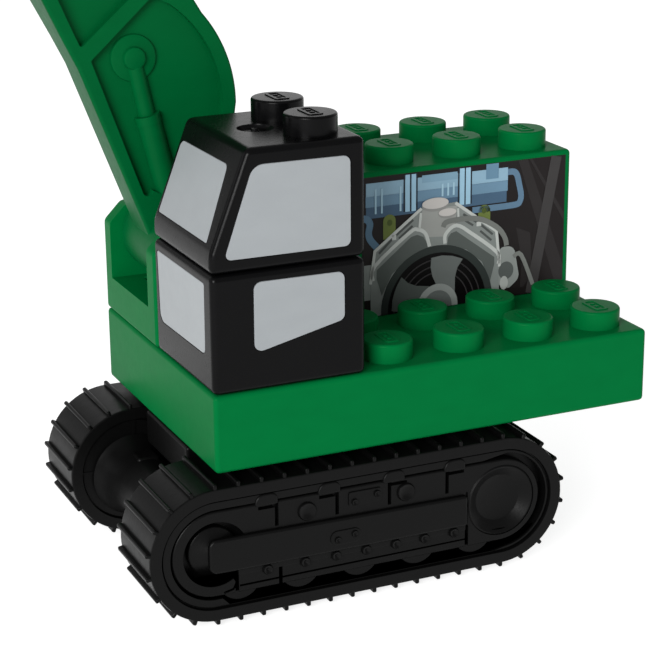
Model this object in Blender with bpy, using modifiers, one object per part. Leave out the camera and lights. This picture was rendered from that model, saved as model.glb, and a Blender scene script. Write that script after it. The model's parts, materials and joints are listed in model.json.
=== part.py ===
"""Toy brick-built excavator on a moulded crawler base.

The machine faces +X, the cab is on its +Y side and the ground is z = 0. Everything
is laid out in millimetres around the slew axis and then moved to the model's frame,
whose origin is the middle of the whole toy's footprint.
"""
import math

import bmesh
import bpy
from mathutils import Matrix, Vector

MM = 0.001

# ---------------------------------------------------------------- driving dimensions (mm)
PITCH = 10.0            # stud spacing
UNIT = 9.8              # one brick height unit
SIDE_PLAY = 0.1         # each brick stands this far inside its grid cell
SEAM = 0.3              # clearance between pieces that touch
EDGE = 0.4              # rounding on brick edges
STUD_R, STUD_H = 3.25, 2.45
WALL, ROOF = 1.35, 2.2  # brick shell round the studs, and its top
UPPER_WALL = 1.8        # brick shell above the studs
TUBE_R, TUBE_WALL = 3.5, 1.0
HIDDEN_STUD = 10        # sides of a stud that another brick covers

DECK_FRONT, DECK_REAR = 19.1, -40.9
DECK_BOTTOM, DECK_TOP = 2 * UNIT, 3 * UNIT
HALF_WIDTH = 2 * PITCH
CAB_H = 1.5 * UNIT
ENGINE_H = 2 * UNIT
CAB_REAR = DECK_FRONT - 2 * PITCH

AXLE_SPAN = 19.5        # loop ends of the tracks, ahead of and behind the slew axis
TRACK_Z = 9.55
BELT_R, BELT_T = 8.6, 1.3
TRACK_IN, TRACK_OUT = 9.9, 20.8
GROUSERS, GROUSER_H, GROUSER_W = 44, 0.6, 0.65
STEP_R, FRAME_R = 6.5, 5.65

ROLLER_X, ROLLER_R, ROLLER_Z = 12.0, 4.5, 4.5
AXLE_R = 1.0

ARM_Y = -10.0           # middle plane of boom, stick and bucket
BOOM_AXIS = (12.4, DECK_TOP + 10.8)
BOOM_HALF = 3.0
DRUM_R, DRUM_HALF = 5.15, 6.85
BOOM_TIP = (34.6, DECK_TOP + 64.7)
TIP_R, TIP_HALF = 4.8, 5.0
BOOM_PIN_R, STICK_PIN_R, BUCKET_PIN_R = 2.0, 1.7, 1.4
FORK_HALF, FORK_DEPTH = 2.5, 15.0
STICK_HALF, STICK_LEAN, STICK_L = 2.2, 28.0, 40.0
BUCKET_HALF, BUCKET_WALL, EAR_T = 8.0, 1.4, 2.0

GREEN = (0.004, 0.19, 0.055)
BLACK = (0.012, 0.012, 0.013)
WINDOW = (0.40, 0.43, 0.44)
STEEL = (0.55, 0.56, 0.58)
PRINT = (0.05, 0.048, 0.05)


# ---------------------------------------------------------------- general helpers
def clear_scene():
    for old in list(bpy.data.objects):
        bpy.data.objects.remove(old, do_unlink=True)


def make_collection(name):
    group = bpy.data.collections.get(name) or bpy.data.collections.new(name)
    if name not in bpy.context.scene.collection.children:
        bpy.context.scene.collection.children.link(group)
    return group


def make_material(name, colour, roughness, metallic=0.0):
    material = bpy.data.materials.new(name)
    material.use_nodes = True
    shader = material.node_tree.nodes["Principled BSDF"]
    shader.inputs["Base Color"].default_value = (*colour, 1.0)
    shader.inputs["Roughness"].default_value = roughness
    shader.inputs["Metallic"].default_value = metallic
    return material


def new_object(name, bm):
    mesh = bpy.data.meshes.new(name)
    bmesh.ops.recalc_face_normals(bm, faces=bm.faces)
    bm.to_mesh(mesh)
    bm.free()
    obj = bpy.data.objects.new(name, mesh)
    WORK.objects.link(obj)
    return obj


def bake(obj):
    """Replace an object's mesh by what its modifiers make of it."""
    graph = bpy.context.evaluated_depsgraph_get()
    graph.update()
    mesh = bpy.data.meshes.new_from_object(obj.evaluated_get(graph))
    obj.modifiers.clear()
    obj.data = mesh


def round_edges(obj, width, segments=2, angle=40.0):
    bevel = obj.modifiers.new("round", "BEVEL")
    bevel.width = width * MM
    bevel.segments = segments
    bevel.limit_method = "ANGLE"
    bevel.angle_limit = math.radians(angle)
    bake(obj)
    return obj


def combine(obj, tool, operation):
    boolean = obj.modifiers.new(operation.lower(), "BOOLEAN")
    boolean.operation = operation
    boolean.solver = "EXACT"
    boolean.object = tool
    bake(obj)
    bpy.data.objects.remove(tool, do_unlink=True)
    return obj


def fuse(obj, *tools):
    for tool in tools:
        combine(obj, tool, "UNION")
    return obj


def cut(obj, *tools):
    for tool in tools:
        combine(obj, tool, "DIFFERENCE")
    return obj


# ---------------------------------------------------------------- shapes, all sizes in mm
def box(x, y, z):
    """A box between two limits on each axis."""
    bm = bmesh.new()
    bmesh.ops.create_cube(bm, size=1.0)
    size = [(high - low) * MM for low, high in (x, y, z)]
    middle = [(high + low) / 2 * MM for low, high in (x, y, z)]
    bmesh.ops.transform(bm, matrix=Matrix.Translation(middle) @ Matrix.Diagonal((*size, 1.0)), verts=bm.verts)
    return new_object("box", bm)


AXIS_TURN = {
    "Y": Matrix.Rotation(math.pi / 2, 4, "X"),
    "Z": Matrix.Identity(4),
}


def cylinders(places, axis, radius, length, segments=24, top=None):
    """Equal cylinders or cones as one object; each place is the middle of a cylinder."""
    bm = bmesh.new()
    for place in places:
        move = Matrix.Translation([value * MM for value in place])
        bmesh.ops.create_cone(
            bm, cap_ends=True, segments=segments, radius1=radius * MM,
            radius2=(radius if top is None else top) * MM, depth=length * MM,
            matrix=move @ AXIS_TURN[axis])
    return new_object("cylinder", bm)


def rod(start, end, radius, segments):
    """A cylinder between two points."""
    a, b = Vector(start) * MM, Vector(end) * MM
    bm = bmesh.new()
    turn = (b - a).to_track_quat("Z", "Y").to_matrix().to_4x4()
    bmesh.ops.create_cone(
        bm, cap_ends=True, segments=segments, radius1=radius * MM, radius2=radius * MM,
        depth=(b - a).length, matrix=Matrix.Translation((a + b) / 2) @ turn)
    return new_object("rod", bm)


def outline_solid(loops, low, high, plane="XZ"):
    """A flat outline, with any further loops as holes, made a solid between two levels."""
    curve = bpy.data.curves.new("outline", "CURVE")
    curve.dimensions = "2D"
    curve.fill_mode = "BOTH"
    curve.extrude = (high - low) / 2 * MM
    for loop in loops:
        spline = curve.splines.new("POLY")
        spline.points.add(len(loop) - 1)
        for point, (u, v) in zip(spline.points, loop):
            point.co = (u * MM, v * MM, 0.0, 1.0)
        spline.use_cyclic_u = True
    flat = bpy.data.objects.new("outline", curve)
    WORK.objects.link(flat)
    graph = bpy.context.evaluated_depsgraph_get()
    graph.update()
    mesh = bpy.data.meshes.new_from_object(flat.evaluated_get(graph))
    bpy.data.objects.remove(flat, do_unlink=True)
    level = (low + high) / 2 * MM
    if plane == "XZ":
        mesh.transform(Matrix.Translation((0.0, level, 0.0)) @ AXIS_TURN["Y"])
    elif plane == "YZ":
        swap = Matrix(((0, 0, 1, level), (1, 0, 0, 0), (0, 1, 0, 0), (0, 0, 0, 1)))
        mesh.transform(swap)
    else:
        mesh.transform(Matrix.Translation((0.0, 0.0, level)))
    bm = bmesh.new()
    bm.from_mesh(mesh)
    bmesh.ops.remove_doubles(bm, verts=bm.verts, dist=0.00001)
    bmesh.ops.dissolve_limit(bm, angle_limit=math.radians(0.5), verts=bm.verts, edges=bm.edges)
    bpy.data.meshes.remove(mesh)
    return new_object("outline", bm)


def arc(centre, radius, start, end, steps):
    """Points along an arc, in degrees, both ends included."""
    turns = [math.radians(start + (end - start) * i / steps) for i in range(steps + 1)]
    return [(centre[0] + radius * math.cos(t), centre[1] + radius * math.sin(t)) for t in turns]


def rounded(corners, steps=4):
    """A polygon whose corners are (u, v, radius)."""
    points = []
    count = len(corners)
    for i, (u, v, radius) in enumerate(corners):
        here = Vector((u, v))
        before = (Vector(corners[i - 1][:2]) - here).normalized()
        after = (Vector(corners[(i + 1) % count][:2]) - here).normalized()
        if radius == 0:
            points.append((u, v))
            continue
        half = before.angle(after) / 2
        reach = radius / math.tan(half)
        middle = here + (before + after).normalized() * (radius / math.sin(half))
        first, last = here + before * reach - middle, here + after * reach - middle
        turn = first.angle_signed(last)
        for k in range(steps + 1):
            spoke = first.copy()
            spoke.rotate(Matrix.Rotation(-turn * k / steps, 2))
            points.append(tuple(middle + spoke))
    return points


def along(origin, angle, distance):
    """A point at an angle (degrees from +X towards +Z) and a distance from another."""
    t = math.radians(angle)
    return (origin[0] + distance * math.cos(t), origin[1] + distance * math.sin(t))


def stadium(radius, steps=12):
    """A track's loop at a radius around its two end centres."""
    front, rear = (AXLE_SPAN, TRACK_Z), (-AXLE_SPAN, TRACK_Z)
    return arc(front, radius, -90, 90, steps) + arc(rear, radius, 90, 270, steps)


# ---------------------------------------------------------------- finishing a node
def finish(obj, name, material, axis):
    """Name a piece, give it its material and hang it on its axis' empty."""
    obj.name = name
    obj.data.name = name
    obj.data.materials.clear()
    obj.data.materials.append(material)
    pivot = Vector(axis["pivot"]) * MM
    obj.data.transform(Matrix.Translation(-pivot))
    obj.parent = axis["empty"]
    obj.data.shade_smooth()
    obj.data.set_sharp_from_angle(angle=math.radians(32))
    WORK.objects.unlink(obj)
    TOY.objects.link(obj)
    return obj


def make_axis(name, pivot, parent=None):
    """An empty on a joint's axis, hung on the axis that carries it."""
    empty = bpy.data.objects.new(name, None)
    carrier = parent["pivot"] if parent else (-SLEW_X, 0.0, 0.0)
    empty.location = (Vector(pivot) - Vector(carrier)) * MM
    empty.parent = parent["empty"] if parent else None
    empty.empty_display_size = 0.01
    TOY.objects.link(empty)
    return {"pivot": pivot, "empty": empty}


# ---------------------------------------------------------------- bricks
def stud_grid(xs, ys, base, segments=18):
    """Studs standing on a level, rounded at the rim, as one object."""
    places = [(x, y, base + STUD_H / 2 - 0.25) for x in xs for y in ys]
    studs = cylinders(places, "Z", STUD_R, STUD_H + 0.5, segments)
    return round_edges(studs, 0.35, 1) if segments > HIDDEN_STUD else studs


def stud_columns(count):
    """Stud places along the deck, from the front backwards."""
    return [DECK_FRONT - PITCH * (i + 0.5) for i in range(count)]


DECK_WALL, DECK_WEB = 1.6, 0.6
HUB_R, HUB_BORE, COLLAR_R = 7.5, 4.3, 6.4
COLLAR_H = 2.4          # room above the hub for the slew pin's head


def deck():
    """Base brick: a shell with three webs and the hub that turns on the slew pin."""
    x = (DECK_REAR + SIDE_PLAY, DECK_FRONT - SIDE_PLAY)
    y = (-HALF_WIDTH + SIDE_PLAY, HALF_WIDTH - SIDE_PLAY)
    body = round_edges(box(x, y, (DECK_BOTTOM, DECK_TOP)), EDGE)
    ceiling = DECK_TOP - ROOF
    inner_x, inner_y = (x[0] + DECK_WALL, x[1] - DECK_WALL), (y[0] + DECK_WALL, y[1] - DECK_WALL)
    cut(body, box(inner_x, inner_y, (DECK_BOTTOM - 1, ceiling)))
    web_z = (DECK_BOTTOM + 0.8, ceiling + 0.5)
    web_x, web_y = (inner_x[0] - 0.5, inner_x[1] + 0.5), (inner_y[0] - 0.5, inner_y[1] + 0.5)
    fuse(body, box(web_x, (-DECK_WEB, DECK_WEB), web_z))
    for middle in (0.0, -2 * PITCH - 0.3):
        fuse(body, box((middle - DECK_WEB, middle + DECK_WEB), web_y, web_z))
    hub_top = ceiling - COLLAR_H
    cut(body, cylinders([(0, 0, (hub_top + ceiling) / 2)], "Z", COLLAR_R, COLLAR_H, 32))
    fuse(body, cylinders([(0, 0, (DECK_BOTTOM + hub_top) / 2)], "Z", HUB_R, hub_top - DECK_BOTTOM, 32))
    cut(body, cylinders([(0, 0, hub_top - 5)], "Z", HUB_BORE, 12, 32))
    columns = stud_columns(6)
    fuse(body, stud_grid(columns[2:], [15, 5], DECK_TOP))
    fuse(body, stud_grid(columns[:2], [15, 5, -5, -15], DECK_TOP, HIDDEN_STUD))
    fuse(body, stud_grid(columns[2:], [-5, -15], DECK_TOP, HIDDEN_STUD))
    return body


def inset(limits, wall):
    return (limits[0] + wall, limits[1] - wall)


def hollow(body, x, y, bottom, top):
    """Open a brick from below: wide round the studs, narrower above them."""
    step = bottom + STUD_H + 0.5
    low = box(inset(x, WALL), inset(y, WALL), (bottom - 1, step))
    high = box(inset(x, UPPER_WALL), inset(y, UPPER_WALL), (step - 0.5, top - ROOF))
    return cut(body, low, high)


def tubes(xs, y, bottom, top):
    """The round tubes under a brick, between its studs."""
    outer = cylinders([(x, y, (bottom + top) / 2) for x in xs], "Z", TUBE_R, top - bottom, 12)
    depth = top - bottom - 1.5
    bore = cylinders([(x, y, bottom + depth / 2 - 1) for x in xs], "Z", TUBE_R - TUBE_WALL, depth + 2, 12)
    return cut(outer, bore)


def window_outline(corners, gap=0.0):
    """A window's rounded outline, drawn in by a gap."""
    middle = Vector((sum(c[0] for c in corners), sum(c[1] for c in corners))) / len(corners)
    shrunk = []
    for u, v, radius in corners:
        moved = (u - math.copysign(gap, u - middle.x), v - math.copysign(gap, v - middle.y))
        shrunk.append((*moved, max(radius - gap, 0.15)))
    return rounded(shrunk)


PAD_T, PAD_POCKET, PAD_GAP = 0.4, 0.7, 0.2
DIMPLE_R, DIMPLE_DEPTH = 2.15, 0.7
LOW_Z = DECK_TOP
HIGH_Z = DECK_TOP + CAB_H
LIP_Z = HIGH_Z + 2.4
ROOF_Z = DECK_TOP + 2 * CAB_H
ROOF_FRONT = DECK_FRONT - 4.9
FACE = DECK_FRONT - SIDE_PLAY
CAB_SIDE = HALF_WIDTH - SIDE_PLAY
SLOPE = math.degrees(math.atan2(ROOF_Z - LIP_Z, ROOF_FRONT - FACE))

LOW_SIDE_WINDOW = [(13.7, LOW_Z + 13.4, 1.2), (13.7, LOW_Z + 4.5, 1.0), (1.9, LOW_Z + 8.0, 0.9),
                   (1.9, LOW_Z + 13.4, 0.9)]
LOW_FRONT_WINDOW = [(1.4, LOW_Z + 13.4, 0.3), (1.4, LOW_Z + 4.4, 1.6), (17.7, LOW_Z + 4.4, 0.9),
                    (17.7, LOW_Z + 13.4, 0.3)]
HIGH_SIDE_WINDOW = [(13.5, HIGH_Z + 12.75, 1.8), (17.6, HIGH_Z + 1.7, 0.8), (0.95, HIGH_Z + 1.7, 0.9),
                    (0.95, HIGH_Z + 12.75, 1.1)]
# on the windshield: across the cab, and up the slope from its foot
HIGH_FRONT_WINDOW = [(1.4, 10.4, 1.0), (1.0, 1.1, 0.3), (17.7, 1.1, 0.3), (16.6, 10.4, 1.0)]


def cab_lower():
    z = (LOW_Z + SEAM, HIGH_Z)
    x = (CAB_REAR + SIDE_PLAY, FACE)
    y = (SIDE_PLAY, CAB_SIDE)
    body = round_edges(box(x, y, z), EDGE)
    hollow(body, x, y, *z)
    xs, ys = [DECK_FRONT - 5, DECK_FRONT - 15], [5, 15]
    fuse(body, stud_grid(xs, ys, HIGH_Z, HIDDEN_STUD))
    fuse(body, tubes([CAB_REAR + PITCH], PITCH, z[0], z[1] - ROOF + 1))
    cut(body, outline_solid([window_outline(LOW_SIDE_WINDOW)], CAB_SIDE - PAD_POCKET, CAB_SIDE + 1))
    cut(body, outline_solid([window_outline(LOW_FRONT_WINDOW)], FACE - PAD_POCKET, FACE + 1, "YZ"))
    return body


def slope_frame():
    """Maps a flat outline (across, up, outwards) onto the windshield."""
    t = math.radians(SLOPE)
    up = Vector((math.cos(t), 0, math.sin(t)))
    across = Vector((0, 1, 0))
    out = across.cross(up)
    frame = Matrix((across, up, out)).transposed().to_4x4()
    frame.translation = Vector((FACE, 0, LIP_Z)) * MM
    return frame


def on_slope(outline, low, high):
    pad = outline_solid([outline], low, high, "XY")
    pad.data.transform(slope_frame())
    return pad


def cab_upper():
    rear, front = CAB_REAR + SIDE_PLAY, FACE
    bottom = HIGH_Z + SEAM
    side = [(rear, bottom), (front, bottom), (front, LIP_Z), (ROOF_FRONT, ROOF_Z), (rear, ROOF_Z)]
    y = (SIDE_PLAY, CAB_SIDE)
    body = round_edges(outline_solid([side], *y), EDGE, angle=12)
    cut(body, box(inset((rear, front), WALL), inset(y, WALL), (bottom - 1, bottom + STUD_H + 0.2)))
    room = [(rear + UPPER_WALL, bottom + 2), (front - 2.7, bottom + 2), (ROOF_FRONT - 2.7, ROOF_Z - ROOF),
            (rear + UPPER_WALL, ROOF_Z - ROOF)]
    cut(body, outline_solid([room], *inset(y, UPPER_WALL)))
    fuse(body, tubes([CAB_REAR + PITCH], PITCH, bottom, ROOF_Z - ROOF + 1))
    fuse(body, stud_grid([CAB_REAR + 5], [5, 15], ROOF_Z))
    cut(body, cylinders([(CAB_REAR + PITCH, PITCH, ROOF_Z)], "Z", DIMPLE_R, 2 * DIMPLE_DEPTH, 24))
    cut(body, outline_solid([window_outline(HIGH_SIDE_WINDOW)], CAB_SIDE - PAD_POCKET, CAB_SIDE + 1))
    cut(body, on_slope(window_outline(HIGH_FRONT_WINDOW), -PAD_POCKET, 1))
    return body


def window_pads():
    """The four printed windows as thin plates, each a gap smaller than its pocket."""
    def shape(corners):
        return window_outline(corners, PAD_GAP)

    return {
        "window_side_lower": outline_solid([shape(LOW_SIDE_WINDOW)], CAB_SIDE - PAD_T, CAB_SIDE),
        "window_front_lower": outline_solid([shape(LOW_FRONT_WINDOW)], FACE - PAD_T, FACE, "YZ"),
        "window_side_upper": outline_solid([shape(HIGH_SIDE_WINDOW)], CAB_SIDE - PAD_T, CAB_SIDE),
        "windshield": on_slope(shape(HIGH_FRONT_WINDOW), -PAD_T, 0),
    }


ENGINE_FRONT = CAB_REAR - SIDE_PLAY
PANEL = ((DECK_REAR + 1.3, ENGINE_FRONT - 1.3), (DECK_TOP + 0.9, DECK_TOP + ENGINE_H - 0.75))


def engine_brick():
    x = (DECK_REAR + SIDE_PLAY, ENGINE_FRONT)
    y = (-HALF_WIDTH + SIDE_PLAY, -SIDE_PLAY)
    z = (DECK_TOP + SEAM, DECK_TOP + ENGINE_H)
    body = round_edges(box(x, y, z), EDGE)
    hollow(body, x, y, *z)
    columns = stud_columns(6)[2:]
    fuse(body, stud_grid(columns, [-5, -15], z[1]))
    fuse(body, tubes([c + PITCH / 2 for c in columns[1:]], -PITCH, z[0], z[1] - ROOF + 1))
    (px, pz) = PANEL
    return cut(body, box(px, (-SIDE_PLAY - PAD_POCKET, 1), pz))


def engine_panel():
    (px, pz) = PANEL
    return box(inset(px, PAD_GAP), (-SIDE_PLAY - PAD_T, -SIDE_PLAY), inset(pz, PAD_GAP))


BRACKET_WALL, BRACKET_LIP, BRACKET_BACK = 2.75, 4.8, 9.8
LIP_DEPTH = 3.8


def boom_bracket():
    """Two cheeks that carry the boom's drum, on a floor with a low lip at the front."""
    rear, front = CAB_REAR + SIDE_PLAY, FACE
    y = (-HALF_WIDTH + SIDE_PLAY, -SIDE_PLAY)
    bottom = DECK_TOP + SEAM
    top = DECK_TOP + CAB_H
    cheek = [(rear, bottom), (front, bottom), (front, DECK_TOP + 12.3), (front - 2.4, top), (rear, top)]
    body = round_edges(outline_solid([cheek], *y), EDGE, angle=30)
    inner = inset(y, BRACKET_WALL)
    lip, back = DECK_TOP + BRACKET_LIP, DECK_TOP + BRACKET_BACK
    profile = [(rear + 2.4, lip), (front + 1, lip), (front + 1, top + 1), (rear - 1, top + 1),
               (rear - 1, back), (rear + 2.4, back)]
    cut(body, outline_solid([profile], *inner))
    well = (BOOM_AXIS[0] - 4.4, front - LIP_DEPTH)
    cut(body, box(well, inset(inner, 1.5), (DECK_TOP + 3.9, lip + 1)))
    cut(body, box(inset((rear, front), WALL), inset(y, WALL), (bottom - 1, bottom + STUD_H + 0.1)))
    bore = cylinders([(BOOM_AXIS[0], ARM_Y, BOOM_AXIS[1])], "Y", BOOM_PIN_R + SEAM, 30, 24)
    return cut(body, bore)


# ---------------------------------------------------------------- boom
KNEE = (25.3, DECK_TOP + 34.8)
HEEL = (4.6, DECK_TOP + 29.0)
LUG = (14.1, DECK_TOP + 43.6)
HEEL_R, LUG_R = 17.9, 3.0
FORE_RISE = 63.9        # slope of the boom's upper half, in degrees
HEEL_RIM = 1.6
RELIEF = 0.8            # depth of the panels in the boom's faces


def boom_outline():
    """Side of the boom: knee in front, bulged heel behind, lug on the heel's top, round tip."""
    foot = (16.4, DECK_TOP + 11.0)
    shank = (7.4, DECK_TOP + 11.0)
    front_tip = along(BOOM_TIP, FORE_RISE - 90, TIP_R)
    back_tip = along(BOOM_TIP, FORE_RISE + 78, TIP_R)
    heel_centre = (HEEL[0] + HEEL_R, HEEL[1])
    points = [foot, KNEE, front_tip]
    points += arc(BOOM_TIP, TIP_R, FORE_RISE - 75, FORE_RISE + 63, 9)
    points += [back_tip, (16.7, DECK_TOP + 47.9)]
    points += arc(LUG, LUG_R, 80, 155, 4)
    points += arc(heel_centre, HEEL_R, 139, 180, 7)
    points.append(shank)
    return points


def recess_lower():
    rim_r = HEEL_R - HEEL_RIM
    heel_centre = (HEEL[0] + HEEL_R, HEEL[1])
    points = [(16.9, DECK_TOP + 18.0), (23.6, DECK_TOP + 35.6), (14.9, DECK_TOP + 44.1)]
    points += arc(heel_centre, rim_r, 137, 180, 6)
    points.append((7.9, DECK_TOP + 18.6))
    return points


def recess_upper():
    tip_side = along(BOOM_TIP, FORE_RISE + 180, 7.0)
    tip = [along(tip_side, FORE_RISE - 90, 2.6), along(tip_side, FORE_RISE + 90, 2.4)]
    return [(24.6, DECK_TOP + 37.3), *tip, (18.0, DECK_TOP + 43.7)]


RAM_TOP = (18.0, DECK_TOP + 35.9)
RAM_JOINT = (16.3, DECK_TOP + 28.6)
RAM_FOOT = (13.9, DECK_TOP + 18.9)


def ram_relief(side):
    """The moulded lift cylinder on one side of the boom: eye, rod and barrel."""
    floor = ARM_Y + side * (BOOM_HALF - RELIEF)
    face = floor + side * 0.45

    def at(point, level):
        return (point[0], level, point[1])

    eye = cylinders([at(RAM_TOP, floor)], "Y", 2.9, 0.9, 28)
    cut(eye, cylinders([at(RAM_TOP, face)], "Y", 2.1, 0.5, 24))
    boss = cylinders([at(RAM_TOP, floor)], "Y", 1.35, 1.7, 20)
    thin = rod(at(RAM_TOP, floor), at(RAM_JOINT, floor), 0.85, 12)
    thick = rod(at(RAM_JOINT, floor), at(RAM_FOOT, floor), 1.45, 14)
    return [eye, boss, thin, thick]


def spread(body, start, end, factor):
    """Widen a piece across Y, from nothing at one line across it to a factor at another."""
    turn = math.radians(FORE_RISE)
    direction = Vector((math.cos(turn), 0, math.sin(turn)))
    bm = bmesh.new()
    bm.from_mesh(body.data)
    origin = Vector((BOOM_TIP[0], ARM_Y, BOOM_TIP[1])) * MM
    for distance in (start, end):
        level = origin + direction * distance * MM
        geometry = bm.verts[:] + bm.edges[:] + bm.faces[:]
        bmesh.ops.bisect_plane(bm, geom=geometry, dist=1e-7, plane_co=level, plane_no=direction)
    for vert in bm.verts:
        reach = (vert.co - origin).dot(direction) / MM
        share = min(max((reach - start) / (end - start), 0.0), 1.0)
        middle = ARM_Y * MM
        vert.co.y = middle + (vert.co.y - middle) * (1 + (factor - 1) * share)
    bm.to_mesh(body.data)
    bm.free()
    return body


def boom():
    low, high = ARM_Y - BOOM_HALF, ARM_Y + BOOM_HALF
    body = outline_solid([boom_outline()], low, high)
    round_edges(body, 0.3, 1, angle=60)
    for side in (-1, 1):
        face = ARM_Y + side * BOOM_HALF
        levels = sorted((face - side * RELIEF, face + side))
        cut(body, outline_solid([recess_lower()], *levels), outline_solid([recess_upper()], *levels))
        fuse(body, *ram_relief(side))
    spread(body, -27.0, -12.0, TIP_HALF / BOOM_HALF)
    drum = cylinders([(BOOM_AXIS[0], ARM_Y, BOOM_AXIS[1])], "Y", DRUM_R, 2 * DRUM_HALF, 32)
    fuse(body, round_edges(drum, 0.3, 1))
    slot_in = along(BOOM_TIP, FORE_RISE + 180, FORK_DEPTH)
    slot_out = along(BOOM_TIP, FORE_RISE, 8)
    corners = [along(slot_in, FORE_RISE - 90, 12), along(slot_out, FORE_RISE - 90, 12),
               along(slot_out, FORE_RISE + 90, 12), along(slot_in, FORE_RISE + 90, 12)]
    cut(body, outline_solid([corners], ARM_Y - FORK_HALF, ARM_Y + FORK_HALF))
    cut(body, cylinders([(BOOM_AXIS[0], ARM_Y, BOOM_AXIS[1])], "Y", BOOM_PIN_R + SEAM, 30, 24))
    cut(body, cylinders([(BOOM_TIP[0], ARM_Y, BOOM_TIP[1])], "Y", STICK_PIN_R + SEAM, 30, 20))
    cut(body, cylinders([(LUG[0], ARM_Y, LUG[1])], "Y", 1.0, 30, 14))
    return body


def pin(centre, radius, low, high, segments=16):
    piece = cylinders([(centre[0], (low + high) / 2, centre[1])], "Y", radius, high - low, segments)
    return round_edges(piece, 0.25, 1)


# ---------------------------------------------------------------- stick and bucket
STICK_ANGLE = STICK_LEAN - 90
BUCKET_AXIS = along(BOOM_TIP, STICK_ANGLE, STICK_L)
BUCKET_BACK_R = 7.6
BUCKET_BACK = (BUCKET_AXIS[0] + 0.6, BUCKET_AXIS[1] - 10.6)

# the slew axis in the model's frame, whose origin is the middle of the footprint
SLEW_X = -(BUCKET_BACK[0] + BUCKET_BACK_R + DECK_REAR + SIDE_PLAY) / 2


def stick_outline():
    tail = along(BOOM_TIP, STICK_ANGLE + 180, 7.0)
    points = arc(BUCKET_AXIS, 3.0, STICK_ANGLE - 85, STICK_ANGLE + 85, 8)
    points.append(along(along(BOOM_TIP, STICK_ANGLE, 9), STICK_ANGLE + 90, 3.9))
    points += arc(tail, 2.4, STICK_ANGLE + 100, STICK_ANGLE + 260, 7)
    points.append(along(along(BOOM_TIP, STICK_ANGLE, 9), STICK_ANGLE - 90, 4.2))
    return points


def stick():
    low, high = ARM_Y - STICK_HALF, ARM_Y + STICK_HALF
    body = outline_solid([stick_outline()], low, high)
    round_edges(body, 0.3, 1, angle=60)
    near, far = along(BOOM_TIP, STICK_ANGLE, 10.5), along(BOOM_TIP, STICK_ANGLE, 33.5)
    panel = [(*along(near, STICK_ANGLE - 90, 2.5), 0.8), (*along(far, STICK_ANGLE - 90, 1.6), 0.8),
             (*along(far, STICK_ANGLE + 90, 1.6), 0.8), (*along(near, STICK_ANGLE + 90, 2.3), 0.8)]
    for side in (-1, 1):
        face = ARM_Y + side * STICK_HALF
        cut(body, outline_solid([rounded(panel, 3)], *sorted((face - side * 0.6, face + side))))
    cut(body, cylinders([(BOOM_TIP[0], ARM_Y, BOOM_TIP[1])], "Y", STICK_PIN_R + SEAM, 30, 20))
    cut(body, cylinders([(BUCKET_AXIS[0], ARM_Y, BUCKET_AXIS[1])], "Y", BUCKET_PIN_R + SEAM, 30, 20))
    return body


def bucket_profile(inset):
    """Side of the bucket around its hinge; its mouth faces the machine."""
    x, z = BUCKET_AXIS
    back = [(x - 3.2 - inset, z - 3.7 - inset), (x + 2.2, z - 3.7 - inset)]
    curve = arc(BUCKET_BACK, BUCKET_BACK_R - inset, 62, -78, 9)
    lip = [(x - 9.0 - inset * 3, z - 18.0 + inset)]
    return back + curve + lip


def bucket():
    body = outline_solid([bucket_profile(0.0)], ARM_Y - BUCKET_HALF, ARM_Y + BUCKET_HALF)
    round_edges(body, 0.3, 1, angle=50)
    room = bucket_profile(BUCKET_WALL)
    inside = outline_solid([room], ARM_Y - BUCKET_HALF + BUCKET_WALL, ARM_Y + BUCKET_HALF - BUCKET_WALL)
    cut(body, inside)
    x, z = BUCKET_AXIS
    ear = arc((x, z), 3.0, 150, -10, 8) + [(x + 3.6, z - 4.4), (x - 3.0, z - 4.4)]
    for side in (-1, 1):
        levels = sorted((ARM_Y + side * FORK_HALF, ARM_Y + side * (FORK_HALF + EAR_T)))
        fuse(body, outline_solid([ear], *levels))
    for k in range(4):
        y = ARM_Y - 6.6 + k * 4.4
        tooth = [(x - 5.6, z - 18.0), (x - 5.6, z - 16.5), (x - 9.4, z - 16.9), (x - 12.0, z - 18.2)]
        fuse(body, outline_solid([tooth], y - 1.1, y + 1.1))
    return cut(body, cylinders([(x, ARM_Y, z)], "Y", BUCKET_PIN_R + SEAM, 30, 20))


# ---------------------------------------------------------------- crawler base
def along_belt(s):
    """A place on the belt's outer side and the direction outwards, a way along the loop."""
    straight, bend = 2 * AXLE_SPAN, math.pi * BELT_R
    s = s % (2 * (straight + bend))
    end, way = (1, s) if s < straight + bend else (-1, s - straight - bend)
    if way < straight:
        return (end * (way - AXLE_SPAN), TRACK_Z - end * BELT_R), -90 * end
    turn = -90 * end + math.degrees((way - straight) / BELT_R)
    return along((end * AXLE_SPAN, TRACK_Z), turn, BELT_R), turn


def cross_bars(inner, outer):
    """The belt's bars, one spacing apart all round the loop."""
    bm = bmesh.new()
    total = 2 * (2 * AXLE_SPAN + math.pi * BELT_R)
    size = Matrix.Diagonal((0.4 + GROUSER_H, outer - inner, GROUSER_W, 1.0))
    for k in range(GROUSERS):
        (x, z), turn = along_belt(total * k / GROUSERS)
        tilt = Matrix.Rotation(-math.radians(turn), 4, "Y")
        offset = Matrix.Translation(((GROUSER_H - 0.4) / 2, 0, 0))
        move = Matrix.Translation((x, (inner + outer) / 2, z)) @ tilt @ offset @ size
        bmesh.ops.create_cube(bm, size=1.0, matrix=Matrix.Scale(MM, 4) @ move)
    return new_object("bars", bm)


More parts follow.
